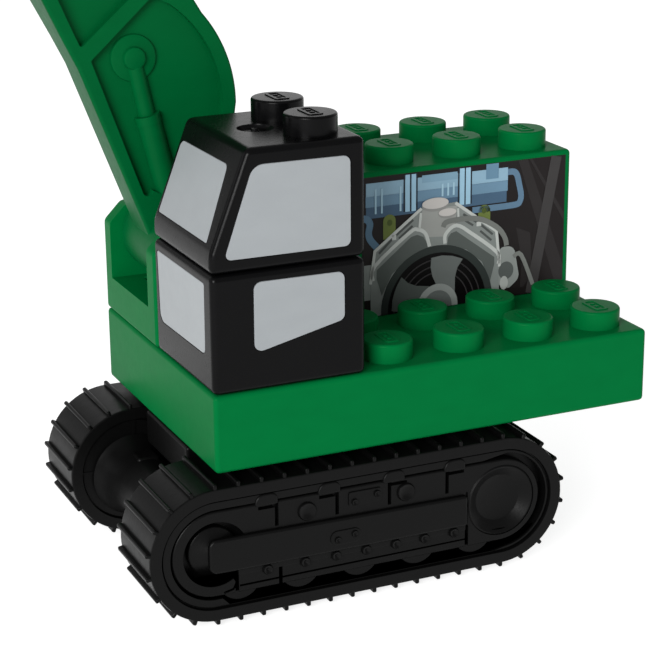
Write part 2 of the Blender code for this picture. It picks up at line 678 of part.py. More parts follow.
def track(side):
    """Moulded loop with its cross bars, dished on the inner side and open on the outer one."""
    def span(low, high):
        return sorted((side * low, side * high))

    body = outline_solid([stadium(BELT_R)], *span(TRACK_IN, TRACK_OUT))
    fuse(body, cross_bars(*span(TRACK_IN + 0.15, TRACK_OUT - 0.15)))
    rim = BELT_R - BELT_T
    cut(body, outline_solid([stadium(rim)], *span(TRACK_OUT - 0.5, TRACK_OUT + 1.0)))
    cut(body, outline_solid([stadium(STEP_R)], *span(TRACK_IN + 2.4, TRACK_OUT + 1.5)))
    cut(body, outline_solid([stadium(rim)], *span(TRACK_IN - 1.0, TRACK_IN + 0.9)))
    middle = side * (TRACK_IN + TRACK_OUT) / 2
    for x in (-ROLLER_X, ROLLER_X):
        cut(body, box((x - 4.6, x + 4.6), (middle - 2.5, middle + 2.5), (-1, TRACK_Z - STEP_R + 0.5)))
        cut(body, cylinders([(x, side * TRACK_IN, ROLLER_Z)], "Y", AXLE_R + 0.3, 8, 12))
    return body


FRAME_IN, FRAME_FACE = 18.2, 20.3
KEEL_DROP = 4.85
SLOT_XS = (11.4, 3.5, -3.8, -11.6)
BOLT_XS = (13.0, 7.95, 3.8, -0.35, -4.4, -8.5, -12.55)


def side_frame(side):
    """The roller frame seen in the loop: slots, tabs, plates, bolt heads and roller bottoms."""
    def span(low, high):
        return sorted((side * low, side * high))

    low = math.degrees(math.asin(KEEL_DROP / FRAME_R))
    front, rear = (AXLE_SPAN, TRACK_Z), (-AXLE_SPAN, TRACK_Z)
    keel = arc(front, FRAME_R, -low, 90, 12) + arc(rear, FRAME_R, 90, 180 + low, 12)
    body = outline_solid([keel], *span(FRAME_IN, FRAME_FACE))
    rollers = [(8.0 * i, side * (FRAME_IN + 0.5), TRACK_Z - 4.4) for i in range(-2, 3)]
    fuse(body, cylinders(rollers, "Y", 1.75, 0.8, 14))
    for x in SLOT_XS:
        foot, corner = TRACK_Z + 5.3, arc((x + 2.3, TRACK_Z + 5.65), 0.8, 0, 90, 3)
        tab = [(x + 0.3, foot), (x + 3.1, foot), *corner, (x + 0.3, TRACK_Z + 6.45)]
        fuse(body, outline_solid([tab], *span(FRAME_IN + 0.6, FRAME_FACE - 0.2)))
        slot_y = span(FRAME_FACE - 0.9, FRAME_FACE + 1)
        cut(body, box((x - 0.25, x + 0.25), slot_y, (TRACK_Z + 2.45, TRACK_Z + 6)))
    cut(body, cylinders([(front[0], side * FRAME_FACE, front[1])], "Y", 3.75, 3.0, 20))
    fuse(body, cylinders([(front[0], side * (FRAME_IN + 0.7), front[1])], "Y", 3.1, 1.0, 16))
    cut(body, cylinders([(rear[0], side * (FRAME_FACE - 0.5), rear[1])], "Y", 4.45, 2.2, 20))
    step = box((-14.5, 17.5), span(FRAME_FACE - 0.2, FRAME_FACE + 0.2), (TRACK_Z - 3.75, TRACK_Z - 2.1))
    fuse(body, step)
    big = [(7.6, side * FRAME_FACE, TRACK_Z + 3.7), (-5.9, side * FRAME_FACE, TRACK_Z + 3.8)]
    fuse(body, cylinders(big, "Y", 1.1, 0.9, 12))
    small = [(x, side * (FRAME_FACE + 0.2), TRACK_Z - 3.0) for x in BOLT_XS]
    fuse(body, cylinders(small, "Y", 0.5, 0.7, 8))
    plate = box((-2.3, 1.9), span(FRAME_FACE - 0.2, FRAME_FACE + 0.25), (TRACK_Z + 2.9, TRACK_Z + 4.9))
    fuse(body, plate)
    level = side * (FRAME_FACE + 0.2)
    rivets = [(1.1, level, TRACK_Z + 3.6), (-1.8, level, TRACK_Z + 3.7)]
    fuse(body, cylinders(rivets, "Y", 0.42, 0.7, 8))
    return body


def track_beam(side):
    """The long raised beam that starts in the front eye, with its oval plate."""
    def span(low, high):
        return sorted((side * low, side * high))

    groove = FRAME_FACE + 0.3
    shape = [(-14.5, TRACK_Z - 1.45), (11.8, TRACK_Z - 1.45), (11.8, TRACK_Z - 2.0), (18.0, TRACK_Z - 2.0),
             (20.5, TRACK_Z - 1.9), (20.5, TRACK_Z + 1.9), (18.5, TRACK_Z + 2.1), (-14.5, TRACK_Z + 2.0)]
    body = outline_solid([shape], *span(groove, groove + 0.55))
    round_edges(body, 0.3, 1, angle=60)
    oval = arc((3.9, TRACK_Z - 0.3), 0.85, -90, 90, 6) + arc((1.7, TRACK_Z - 0.3), 0.85, 90, 270, 6)
    fuse(body, outline_solid([oval], *span(groove + 0.3, groove + 0.75)))
    heads = [(4.0, side * (groove + 0.7), TRACK_Z - 0.3), (1.6, side * (groove + 0.7), TRACK_Z - 0.3)]
    return fuse(body, cylinders(heads, "Y", 0.4, 0.5, 8))


def idler_cap(side):
    """The dished cap at the rear end of a track."""
    outer_face = side * (FRAME_FACE - 0.05)
    middle = side * (FRAME_FACE - 0.65)
    cap = cylinders([(-AXLE_SPAN, middle, TRACK_Z)], "Y", 4.15, 1.2, 22)
    dish = 3.3 if side > 0 else 4.0
    rim = 4.0 if side > 0 else 3.3
    bowl = cylinders([(-AXLE_SPAN, outer_face, TRACK_Z)], "Y", rim, 1.7, 22, top=dish)
    return cut(cap, bowl)


def turned(profile, place, segments=20):
    """A solid of revolution about a line along Y; the profile is (radius, height) from top to bottom."""
    mesh = bpy.data.meshes.new("profile")
    points = [(radius * MM, 0.0, height * MM) for radius, height in profile]
    mesh.from_pydata(points, [(i, i + 1) for i in range(len(points) - 1)], [])
    obj = bpy.data.objects.new("turned", mesh)
    WORK.objects.link(obj)
    screw = obj.modifiers.new("turn", "SCREW")
    screw.steps = segments
    screw.render_steps = segments
    screw.use_merge_vertices = True
    screw.merge_threshold = 0.00001
    bake(obj)
    obj.data.transform(Matrix.Translation([value * MM for value in place]) @ AXIS_TURN["Y"])
    return obj


def chassis():
    """Centre block between the tracks, with the two spool-shaped axle housings and the boss."""
    reach = TRACK_IN - SEAM
    top = DECK_BOTTOM - 0.9
    body = box((-16.5, 18.3), (-7.6, 7.6), (top - 4.6, top))
    round_edges(body, 0.5, 1)
    belly = box((-15.5, 15.5), (-reach, reach), (2.2, top - 3.0))
    round_edges(belly, 0.6, 1)
    fuse(body, belly)
    flare = [(5.6, reach), (4.7, reach - 1.2), (3.9, reach - 2.8), (3.4, 4.6)]
    spool = [(0.0, reach), *flare, *[(radius, -height) for radius, height in reversed(flare)], (0.0, -reach)]
    for x in (-AXLE_SPAN, AXLE_SPAN):
        fuse(body, turned(spool, (x, 0.0, TRACK_Z - 0.6)))
        arm = sorted((x, x * 0.7))
        fuse(body, box(arm, (-6.0, 6.0), (TRACK_Z - 3.0, TRACK_Z + 2.0)))
    fuse(body, box((18.7, 20.4), (-1.8, 4.2), (TRACK_Z + 2.0, TRACK_Z + 3.4)))
    boss = cylinders([(0, 0, top)], "Z", 9.0, 1.2, 32)
    fuse(body, boss)
    cut(body, cylinders([(0, 0, top - 1.5)], "Z", HUB_BORE, 9.0, 32))
    for x in (-ROLLER_X, ROLLER_X):
        cut(body, cylinders([(x, 0, ROLLER_Z)], "Y", AXLE_R + 0.3, 30, 12))
    return body


def slew_pin():
    """Snap pin: stem in the chassis, collar above the deck's hub, split along its head."""
    foot = DECK_BOTTOM - 6.3
    neck = DECK_TOP - ROOF - COLLAR_H + SEAM
    stem = cylinders([(0, 0, (foot + neck) / 2)], "Z", HUB_BORE - SEAM, neck - foot, 28)
    head = cylinders([(0, 0, neck + 0.6)], "Z", 5.3, 1.3, 28, top=4.6)
    fuse(stem, head)
    return cut(stem, box((-6, 6), (-0.5, 0.5), (neck - 3.0, neck + 3)))


def roller(side, x):
    middle = side * (TRACK_IN + TRACK_OUT) / 2
    wheel = cylinders([(x, middle, ROLLER_Z)], "Y", ROLLER_R, 4.2, 24)
    round_edges(wheel, 0.4, 1)
    return cut(wheel, cylinders([(x, middle, ROLLER_Z)], "Y", AXLE_R + 0.3, 10, 12))


def axle(x):
    length = TRACK_IN + TRACK_OUT + 5.0
    return round_edges(cylinders([(x, 0, ROLLER_Z)], "Y", AXLE_R, length, 12), 0.2, 1)


# ---------------------------------------------------------------- the whole toy
def build():
    green = make_material("green_abs", GREEN, 0.32)
    black = make_material("black_abs", BLACK, 0.30)
    track_black = make_material("track_black", BLACK, 0.42)
    window = make_material("window_print", WINDOW, 0.35)
    panel = make_material("engine_print", PRINT, 0.35)
    steel = make_material("axle_steel", STEEL, 0.30, 1.0)

    ground = make_axis("crawler_base", (0.0, 0.0, 0.0))
    slew = make_axis("slew_axis", (0.0, 0.0, DECK_BOTTOM), ground)
    lift = make_axis("boom_axis", (BOOM_AXIS[0], ARM_Y, BOOM_AXIS[1]), slew)
    reach = make_axis("stick_axis", (BOOM_TIP[0], ARM_Y, BOOM_TIP[1]), lift)
    curl = make_axis("bucket_axis", (BUCKET_AXIS[0], ARM_Y, BUCKET_AXIS[1]), reach)

    finish(chassis(), "chassis", track_black, ground)
    finish(slew_pin(), "slew_pin", track_black, ground)
    for side, word in ((1, "left"), (-1, "right")):
        finish(track(side), "track_" + word, track_black, ground)
        finish(side_frame(side), "side_frame_" + word, track_black, ground)
        finish(track_beam(side), "track_beam_" + word, track_black, ground)
        finish(idler_cap(side), "idler_cap_" + word, track_black, ground)
    for x, place in ((ROLLER_X, "front"), (-ROLLER_X, "rear")):
        spin = make_axis("roller_axis_" + place, (x, 0.0, ROLLER_Z), ground)
        finish(axle(x), "axle_" + place, steel, spin)
        for side, word in ((1, "left"), (-1, "right")):
            finish(roller(side, x), "roller_" + place + "_" + word, track_black, spin)

    finish(deck(), "deck", green, slew)
    finish(cab_lower(), "cab_lower", black, slew)
    finish(cab_upper(), "cab_upper", black, slew)
    for name, pad in window_pads().items():
        finish(pad, name, window, slew)
    finish(engine_brick(), "engine_brick", green, slew)
    finish(engine_panel(), "engine_panel", panel, slew)
    finish(boom_bracket(), "boom_bracket", green, slew)
    finish(pin(BOOM_AXIS, BOOM_PIN_R, -HALF_WIDTH + 0.4, -0.6, 24), "boom_pin", green, slew)

    finish(boom(), "boom", green, lift)
    tip_span = (ARM_Y - TIP_HALF - 0.4, ARM_Y + TIP_HALF + 0.4)
    finish(pin(BOOM_TIP, STICK_PIN_R, *tip_span), "stick_pin", black, lift)
    finish(stick(), "stick", green, reach)
    ear_span = (ARM_Y - FORK_HALF - EAR_T - 0.3, ARM_Y + FORK_HALF + EAR_T + 0.3)
    finish(pin(BUCKET_AXIS, BUCKET_PIN_R, *ear_span), "bucket_pin", black, reach)
    finish(bucket(), "bucket", black, curl)


clear_scene()
TOY = make_collection("toy_excavator")
WORK = make_collection("work")
build()
bpy.context.scene.collection.children.unlink(WORK)
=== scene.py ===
"""Looks of the brick-built toy excavator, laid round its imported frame.

Shapes are made in millimetres around the slew axis, x forward, y towards the cab's side
and z up. Each finished piece is then scaled to metres and moved onto the frame.
"""

import json
import math

import bmesh
import bpy
from mathutils import Matrix, Vector


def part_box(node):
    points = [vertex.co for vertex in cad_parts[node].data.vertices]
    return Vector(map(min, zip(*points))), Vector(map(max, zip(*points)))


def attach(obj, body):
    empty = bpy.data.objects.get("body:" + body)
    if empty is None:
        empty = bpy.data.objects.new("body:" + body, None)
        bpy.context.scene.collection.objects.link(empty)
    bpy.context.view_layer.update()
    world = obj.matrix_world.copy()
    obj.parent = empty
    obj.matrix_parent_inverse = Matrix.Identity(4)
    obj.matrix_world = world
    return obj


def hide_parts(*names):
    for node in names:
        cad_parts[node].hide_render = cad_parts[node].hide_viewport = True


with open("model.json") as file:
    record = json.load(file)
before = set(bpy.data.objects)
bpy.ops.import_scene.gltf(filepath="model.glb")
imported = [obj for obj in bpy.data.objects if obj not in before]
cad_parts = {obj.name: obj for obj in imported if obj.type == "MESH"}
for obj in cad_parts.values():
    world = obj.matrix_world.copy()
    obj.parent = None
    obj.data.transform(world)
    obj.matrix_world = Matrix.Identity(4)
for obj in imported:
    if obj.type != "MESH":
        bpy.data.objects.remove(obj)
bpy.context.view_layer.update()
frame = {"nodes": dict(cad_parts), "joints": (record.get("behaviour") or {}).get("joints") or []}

MM = 0.001
PIN = {joint["name"]: Vector(joint["pos_m"]) / MM for joint in frame["joints"]}
ORIGIN = Vector((PIN["slew"].x, 0.0, 0.0))


def limits(node):
    """A CAD node's box as (x, y, z) ranges in millimetres around the slew axis."""
    low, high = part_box(node)
    return [(low[i] / MM - ORIGIN[i], high[i] / MM - ORIGIN[i]) for i in range(3)]


def centre(joint):
    """A joint's place in the side view, as (x, z)."""
    return (PIN[joint].x - ORIGIN.x, PIN[joint].z)


# ---------------- driving dimensions (mm)
PITCH, UNIT = 10.0, 9.8
STUD_R, STUD_H = 3.25, 2.45
WALL, LID, SEAM = 1.35, 2.2, 0.04
EDGE, CAB_EDGE = 0.55, 0.8
SHARP_ANGLE = 38.0
DECK_X, DECK_Y, DECK_Z = limits("deck")
DECK_TOP = DECK_Z[0] + UNIT
FRONT, REAR = DECK_X[1], DECK_X[0]
CAB_X, CAB_Y, _ = limits("cab_lower")
ENGINE_X, ENGINE_Y, _ = limits("engine_brick")
CAB_H = 1.5 * UNIT
CAB_MID = DECK_TOP + CAB_H
CAB_ROOF = CAB_MID + CAB_H
LIP_Z = CAB_MID + 2.4
ROOF_FRONT = FRONT - 4.8
ENGINE_TOP = DECK_TOP + 2 * UNIT
ARM_Y = PIN["boom_lift"].y
BOOM_AXIS, BOOM_TIP = centre("boom_lift"), centre("stick_swing")
BUCKET_AXIS = centre("bucket_curl")
AXLE_SPAN, TRACK_Z, BELT_R = 19.5, 9.55, 8.6
FRONT_AXLE, REAR_AXLE = (AXLE_SPAN, TRACK_Z), (-AXLE_SPAN, TRACK_Z)
RIM_R, STEP_R, LEDGE_R, FRAME_R = 7.05, 6.5, 5.85, 5.6
TRACK_IN, TRACK_OUT = 9.9, 20.8
FRAME_IN, FRAME_FACE = 18.2, 20.3
ROLLER_X, ROLLER_Z = 12.0, 4.5
GROUSERS, GROUSER_H, GROUSER_W = 44, 0.58, 0.55


# ---------------- materials
def linear(*rgb):
    """A colour from its 8-bit screen values."""
    channels = [value / 255 for value in rgb]
    curve = [c / 12.92 if c < 0.04045 else ((c + 0.055) / 1.055) ** 2.4 for c in channels]
    return (*curve, 1.0)


SEEN = 0.66     # share of a colour, as the studio's light shows it, that is the material's own
TONE_SCALE, GLOSS_SCALE, SKIN_SCALE = 240, 900, 2600    # noise cells to a metre
SKIN_DEPTH = 0.00002


def plastic(name, rgb, roughness, specular=0.15, shift=0.035, grain=0.35, metallic=0.0, own=SEEN):
    """A surface with a slightly uneven tone and gloss and a finely rough skin."""
    material = bpy.data.materials.new(name)
    material.use_nodes = True
    tree = material.node_tree
    shader = tree.nodes["Principled BSDF"]
    shader.inputs["Metallic"].default_value = metallic
    shader.inputs["IOR"].default_value = 1.5
    shader.inputs["Specular IOR Level"].default_value = specular
    place = tree.nodes.new("ShaderNodeTexCoord")

    def noise(scale, detail, stretch=(1, 1, 1)):
        mapping = tree.nodes.new("ShaderNodeMapping")
        mapping.inputs["Scale"].default_value = stretch
        tree.links.new(place.outputs["Object"], mapping.inputs["Vector"])
        texture = tree.nodes.new("ShaderNodeTexNoise")
        texture.inputs["Scale"].default_value = scale
        texture.inputs["Detail"].default_value = detail
        tree.links.new(mapping.outputs["Vector"], texture.inputs["Vector"])
        return texture.outputs["Fac"]

    def ramp(source, low, high):
        """Spread the middle of a noise over a range."""
        scale = tree.nodes.new("ShaderNodeMapRange")
        scale.inputs["From Min"].default_value = 0.3
        scale.inputs["From Max"].default_value = 0.7
        scale.inputs["To Min"].default_value = low
        scale.inputs["To Max"].default_value = high
        tree.links.new(source, scale.inputs["Value"])
        return scale.outputs["Result"]

    tone = tree.nodes.new("ShaderNodeMix")
    tone.data_type = "RGBA"
    base = [value * own for value in linear(*rgb)[:3]]
    tone.inputs["A"].default_value = (*[value * (1 - shift) for value in base], 1.0)
    tone.inputs["B"].default_value = (*[value * (1 + shift) for value in base], 1.0)
    tree.links.new(ramp(noise(TONE_SCALE, 4, (1, 1, 2)), 0.0, 1.0), tone.inputs["Factor"])
    tree.links.new(tone.outputs["Result"], shader.inputs["Base Color"])
    gloss = ramp(noise(GLOSS_SCALE, 4), roughness * 0.92, roughness * 1.08)
    tree.links.new(gloss, shader.inputs["Roughness"])
    bump = tree.nodes.new("ShaderNodeBump")
    bump.inputs["Strength"].default_value = grain
    bump.inputs["Distance"].default_value = SKIN_DEPTH
    tree.links.new(noise(SKIN_SCALE, 2), bump.inputs["Height"])
    tree.links.new(bump.outputs["Normal"], shader.inputs["Normal"])
    return material


GREEN = plastic("green_abs", (0, 118, 58), 0.34, specular=0.02)
ARM_GREEN = plastic("green_abs_arm", (0, 100, 50), 0.36, specular=0.032)
BLACK = plastic("black_abs", (11, 11, 12), 0.26, specular=0.08)
TRACK = plastic("track_black", (11, 11, 11), 0.36, specular=0.105, grain=0.6)
WINDOW = plastic("window_print", (169, 174, 177), 0.34, shift=0.02, own=0.68)
STEEL = plastic("axle_steel", (196, 197, 200), 0.28, specular=0.5, shift=0.05, metallic=1.0)


# ---------------- shapes
def new_object(name, bm):
    mesh = bpy.data.meshes.new(name)
    bmesh.ops.recalc_face_normals(bm, faces=bm.faces)
    bm.to_mesh(mesh)
    bm.free()
    obj = bpy.data.objects.new(name, mesh)
    bpy.context.scene.collection.objects.link(obj)
    return obj


def bake(obj):
    """Apply a shape's modifiers."""
    graph = bpy.context.evaluated_depsgraph_get()
    graph.update()
    mesh = bpy.data.meshes.new_from_object(obj.evaluated_get(graph))
    obj.modifiers.clear()
    obj.data = mesh
    return obj


def round_edges(obj, width, segments=3, angle=40.0):
    bevel = obj.modifiers.new("round", "BEVEL")
    bevel.width = width
    bevel.segments = segments
    bevel.limit_method = "ANGLE"
    bevel.angle_limit = math.radians(angle)
    bevel.miter_outer = "MITER_ARC"
    return bake(obj)


def cut(obj, *tools):
    for tool in tools:
        boolean = obj.modifiers.new("cut", "BOOLEAN")
        boolean.operation = "DIFFERENCE"
        boolean.solver = "EXACT"
        boolean.object = tool
        bake(obj)
        bpy.data.objects.remove(tool, do_unlink=True)
    return obj


def gather(parts):
    """Several closed shapes as one object."""
    bm = bmesh.new()
    for part in parts:
        bm.from_mesh(part.data)
        bpy.data.objects.remove(part, do_unlink=True)
    return new_object("group", bm)


def box(x, y, z):
    bm = bmesh.new()
    size = [high - low for low, high in (x, y, z)]
    middle = [(high + low) / 2 for low, high in (x, y, z)]
    place = Matrix.Translation(middle) @ Matrix.Diagonal((*size, 1.0))
    bmesh.ops.create_cube(bm, size=1.0, matrix=place)
    return new_object("box", bm)


AXIS_TURN = {"Y": Matrix.Rotation(math.pi / 2, 4, "X"), "Z": Matrix.Identity(4)}
SIDES = ((1, "left"), (-1, "right"))


def cylinders(places, axis, radius, length, segments=40):
    bm = bmesh.new()
    for place in places:
        bmesh.ops.create_cone(
            bm, cap_ends=True, segments=segments, radius1=radius, radius2=radius,
            depth=length, matrix=Matrix.Translation(place) @ AXIS_TURN[axis])
    return new_object("cylinder", bm)


def rod(start, end, radius, segments=24):
    a, b = Vector(start), Vector(end)
    turn = (b - a).to_track_quat("Z", "Y").to_matrix().to_4x4()
    bm = bmesh.new()
    bmesh.ops.create_cone(
        bm, cap_ends=True, segments=segments, radius1=radius, radius2=radius,
        depth=(b - a).length, matrix=Matrix.Translation((a + b) / 2) @ turn)
    return new_object("rod", bm)


def turned(profile, place=(0, 0, 0), axis="Z", segments=48):
    """A solid of revolution; the profile is (radius, height) from top to bottom."""
    mesh = bpy.data.meshes.new("profile")
    points = [(radius, 0.0, height) for radius, height in profile]
    mesh.from_pydata(points, [(i, i + 1) for i in range(len(points) - 1)], [])
    obj = bpy.data.objects.new("turned", mesh)
    bpy.context.scene.collection.objects.link(obj)
    screw = obj.modifiers.new("turn", "SCREW")
    screw.steps = segments
    screw.render_steps = segments
    screw.use_merge_vertices = True
    screw.merge_threshold = 0.0001
    bake(obj)
    obj.data.transform(Matrix.Translation(place) @ AXIS_TURN[axis])
    return obj


def mirrored(profile):
    """The upper half of a profile, and the same upside down below it."""
    return profile + [(radius, -height) for radius, height in reversed(profile)]


def head(profile, side, place, segments):
    """A turned shape laid on a side face: its top looks left (side 1) or right (side -1)."""
    obj = turned(profile, segments=segments)
    obj.data.transform(Matrix.Translation(place) @ Matrix.Rotation(-side * math.pi / 2, 4, "X"))
    return obj


def copies(obj, places):
    """One object made of a shape moved to each place."""
    bm = bmesh.new()
    for place in places:
        moved = obj.data.copy()
        moved.transform(Matrix.Translation(place))
        bm.from_mesh(moved)
        bpy.data.meshes.remove(moved)
    bpy.data.objects.remove(obj, do_unlink=True)
    return new_object("copies", bm)


def outline_solid(loops, low, high, plane="XZ"):
    """A flat outline, any further loops being holes, made solid between two levels."""
    curve = bpy.data.curves.new("outline", "CURVE")
    curve.dimensions = "2D"
    curve.fill_mode = "BOTH"
    curve.extrude = (high - low) / 2
    for loop in loops:
        spline = curve.splines.new("POLY")
        spline.points.add(len(loop) - 1)
        for point, (u, v) in zip(spline.points, loop):
            point.co = (u, v, 0.0, 1.0)
        spline.use_cyclic_u = True
    flat = bpy.data.objects.new("outline", curve)
    bpy.context.scene.collection.objects.link(flat)
    graph = bpy.context.evaluated_depsgraph_get()
    graph.update()
    mesh = bpy.data.meshes.new_from_object(flat.evaluated_get(graph))
    bpy.data.objects.remove(flat, do_unlink=True)
    level = (low + high) / 2
    if plane == "XZ":
        mesh.transform(Matrix.Translation((0.0, level, 0.0)) @ AXIS_TURN["Y"])
    elif plane == "YZ":
        mesh.transform(Matrix(((0, 0, 1, level), (1, 0, 0, 0), (0, 1, 0, 0), (0, 0, 0, 1))))
    else:
        mesh.transform(Matrix.Translation((0.0, 0.0, level)))
    bm = bmesh.new()
    bm.from_mesh(mesh)
    bmesh.ops.remove_doubles(bm, verts=bm.verts, dist=0.001)
    bmesh.ops.dissolve_limit(bm, angle_limit=math.radians(0.3), verts=bm.verts, edges=bm.edges)
    bpy.data.meshes.remove(mesh)
    return new_object("outline", bm)


def slab(loop, levels, radius, segments=3, angle=40.0):
    """A side outline made solid between two levels across the toy, with rounded edges."""
    return round_edges(outline_solid([loop], *levels), radius, segments, angle)


def arc(middle, radius, start, end, steps):
    """A stretch of a circle, from one angle to another in degrees."""
    turns = [math.radians(start + (end - start) * i / steps) for i in range(steps + 1)]
    return [(middle[0] + radius * math.cos(t), middle[1] + radius * math.sin(t)) for t in turns]


def along(origin, angle, distance):
    """The point a way from another one, at an angle in degrees."""
    t = math.radians(angle)
    return (origin[0] + distance * math.cos(t), origin[1] + distance * math.sin(t))


def rounded(corners, steps=6):
    """A polygon whose corners are (u, v, radius), each rounded by an arc."""
    points = []
    for i, (u, v, radius) in enumerate(corners):
        here = Vector((u, v))
        before = (Vector(corners[i - 1][:2]) - here).normalized()
        after = (Vector(corners[(i + 1) % len(corners)][:2]) - here).normalized()
        if radius == 0:
            points.append((u, v))
            continue
        half = before.angle(after) / 2
        middle = here + (before + after).normalized() * (radius / math.sin(half))
        reach = radius / math.tan(half)
        first, last = here + before * reach - middle, here + after * reach - middle
        turn = first.angle_signed(last)
        for k in range(steps + 1):
            spoke = first.copy()
            spoke.rotate(Matrix.Rotation(-turn * k / steps, 2))
            points.append(tuple(middle + spoke))
    return points


def stadium(radius):
    """The belt's outline, or one that runs inside it."""
    return arc(FRONT_AXLE, radius, -90, 90, 36) + arc(REAR_AXLE, radius, 90, 270, 36)


def piece(obj, name, body, material, slot, *nodes):
    """Scale a shape onto the frame, give it its looks and let it ride on its body."""
    obj.name = name
    obj.data.name = name
    obj.data.transform(Matrix.Translation(ORIGIN * MM) @ Matrix.Scale(MM, 4))
    obj.data.materials.clear()
    obj.data.materials.append(material)
    obj.data.shade_smooth()
    obj.data.set_sharp_from_angle(angle=math.radians(SHARP_ANGLE))
    weighted = obj.modifiers.new("weighted_normals", "WEIGHTED_NORMAL")
    weighted.keep_sharp = True
    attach(obj, body)
    if nodes:
        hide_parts(*nodes)


# ---------------- bricks
def block(a, b):
    """A rectangle's outline from its two ranges."""
    return [(a[0], b[0]), (a[1], b[0]), (a[1], b[1]), (a[0], b[1])]


def stud(base):
    """One stud with a rounded rim and, on top, a plain raised ring with two bars in it."""
    rim, root, bar_half = 0.32, 0.3, (0.2, 0.3)
    top = base + STUD_H
    edge = arc((STUD_R - rim, top - rim), rim, 0, 90, 4)
    body = turned([(0.0, top), *reversed(edge), (STUD_R, base - root), (0.0, base - root)])
    outer, inner = [[(-u, -v, r), (u, -v, r), (u, v, r), (-u, v, r)]
                    for u, v, r in ((2.0, 0.98, 0.5), (1.62, 0.6, 0.2))]
    marks = [[rounded(outer, 4), rounded(inner, 3)[::-1]]]
    marks += [[block((u - bar_half[0], u + bar_half[0]), (-bar_half[1], bar_half[1]))] for u in (-0.55, 0.55)]
    parts = [outline_solid(loops, top - 0.1, top + 0.12, "XY") for loops in marks]
    mark = gather([round_edges(part, 0.07, 2, 60) for part in parts])
    mark.data.transform(Matrix.Rotation(math.pi / 2, 4, "Z"))
    return gather([body, mark])


def studs(columns, rows, base):
    return copies(stud(base), [(x, y, 0.0) for x in columns for y in rows])


def columns(first, last):
    """Stud places along the toy, counted from the front; the deck ends just inside the grid."""
    half_gap = 0.1
    return [FRONT + half_gap - PITCH * (i + 0.5) for i in range(first, last)]


def build_deck():
    body = box(DECK_X, DECK_Y, (DECK_Z[0], DECK_TOP))
    round_edges(body, EDGE)
    wall, ceiling = 1.5, DECK_TOP - LID
    inner_x, inner_y = (REAR + wall, FRONT - wall), (DECK_Y[0] + wall, DECK_Y[1] - wall)
    cut(body, box(inner_x, inner_y, (DECK_Z[0] - 1, ceiling)))
    web_x, web_y, web_z = (-20.9, -19.7), (-0.6, 0.6), (DECK_Z[0] + 0.8, ceiling + 0.5)
    sunk = 0.5
    inside = [
        box((inner_x[0] - sunk, inner_x[1] + sunk), web_y, web_z),
        box(web_x, (inner_y[0] - sunk, inner_y[1] + sunk), web_z)]
    hub_r, bore_r, chamfer = 7.5, 4.3, 0.3
    hub = turned([(0.0, ceiling + 0.4), (hub_r, ceiling + 0.4), (hub_r, DECK_Z[0] + chamfer),
                  (hub_r - chamfer, DECK_Z[0]), (bore_r + chamfer, DECK_Z[0]), (bore_r, DECK_Z[0] + chamfer),
                  (bore_r, ceiling - 2.0), (0.0, ceiling - 2.0)])
    tube_r, tube_bore_r, tube_h = 3.6, 2.5, 6.6
    places = [(x - PITCH / 2, y) for x in columns(3, 5) for y in (-PITCH, PITCH)]
    tubes = cylinders([(x, y, ceiling - 3.0) for x, y in places], "Z", tube_r, tube_h)
    cut(tubes, cylinders([(x, y, ceiling - 4.0) for x, y in places], "Z", tube_bore_r, tube_h))
    bare = studs(columns(2, 6), (5, 15), DECK_TOP)
    piece(gather([body, bare, hub, tubes, *inside]), "deck_brick", "upper_body", GREEN, "green_abs", "deck")


def hollow_brick(x, y, base, top, edge):
    """A brick standing a seam's width above its base, open below."""
    body = round_edges(box(x, y, (base + SEAM, top)), edge)
    return cut(body, box((x[0] + WALL, x[1] - WALL), (y[0] + WALL, y[1] - WALL), (base - 1, top - LID)))


def build_engine_brick():
    body = hollow_brick(ENGINE_X, ENGINE_Y, DECK_TOP, ENGINE_TOP, EDGE)
    top = studs(columns(2, 6), (-5, -15), ENGINE_TOP)
    piece(gather([body, top]), "engine_cover_brick", "upper_body", GREEN, "green_abs", "engine_brick")


def window_loop(corners, inset):
    """A window's outline, moved inwards all round."""
    middle = Vector((sum(c[0] for c in corners), sum(c[1] for c in corners))) / len(corners)
    moved = [(u - math.copysign(inset, u - middle.x), v - math.copysign(inset, v - middle.y), r)
             for u, v, r in corners]
    return rounded(moved)


WINDOWS = {
    "side_lower": [(13.75, DECK_TOP + 13.5, 1.0), (13.8, DECK_TOP + 4.6, 1.0),
                   (1.95, DECK_TOP + 7.3, 0.9), (1.95, DECK_TOP + 13.4, 0.9)],
    "front_lower": [(1.3, DECK_TOP + 13.4, 0.3), (1.75, DECK_TOP + 4.3, 1.4),
                    (17.3, DECK_TOP + 4.5, 0.9), (17.5, DECK_TOP + 13.4, 0.3)],
    "side_upper": [(13.5, CAB_MID + 12.8, 1.9), (17.4, CAB_MID + 1.7, 0.7),
                   (1.1, CAB_MID + 1.6, 0.8), (1.1, CAB_MID + 12.7, 0.9)],
    "windshield": [(1.1, 10.5, 0.9), (1.15, 1.1, 0.3), (17.6, 1.1, 0.3), (16.3, 10.6, 0.9)],
}
PRINT_DEPTH = 0.35


def slope_frame():
    """The turn and place that lay an outline's (across, up, outwards) on the windshield."""
    t = math.atan2(CAB_ROOF - LIP_Z, ROOF_FRONT - FRONT)
    up = Vector((math.cos(t), 0, math.sin(t)))
    across = Vector((0, 1, 0))
    turn = Matrix((across, up, across.cross(up))).transposed().to_4x4()
    turn.translation = Vector((FRONT, 0, LIP_Z))
    return turn


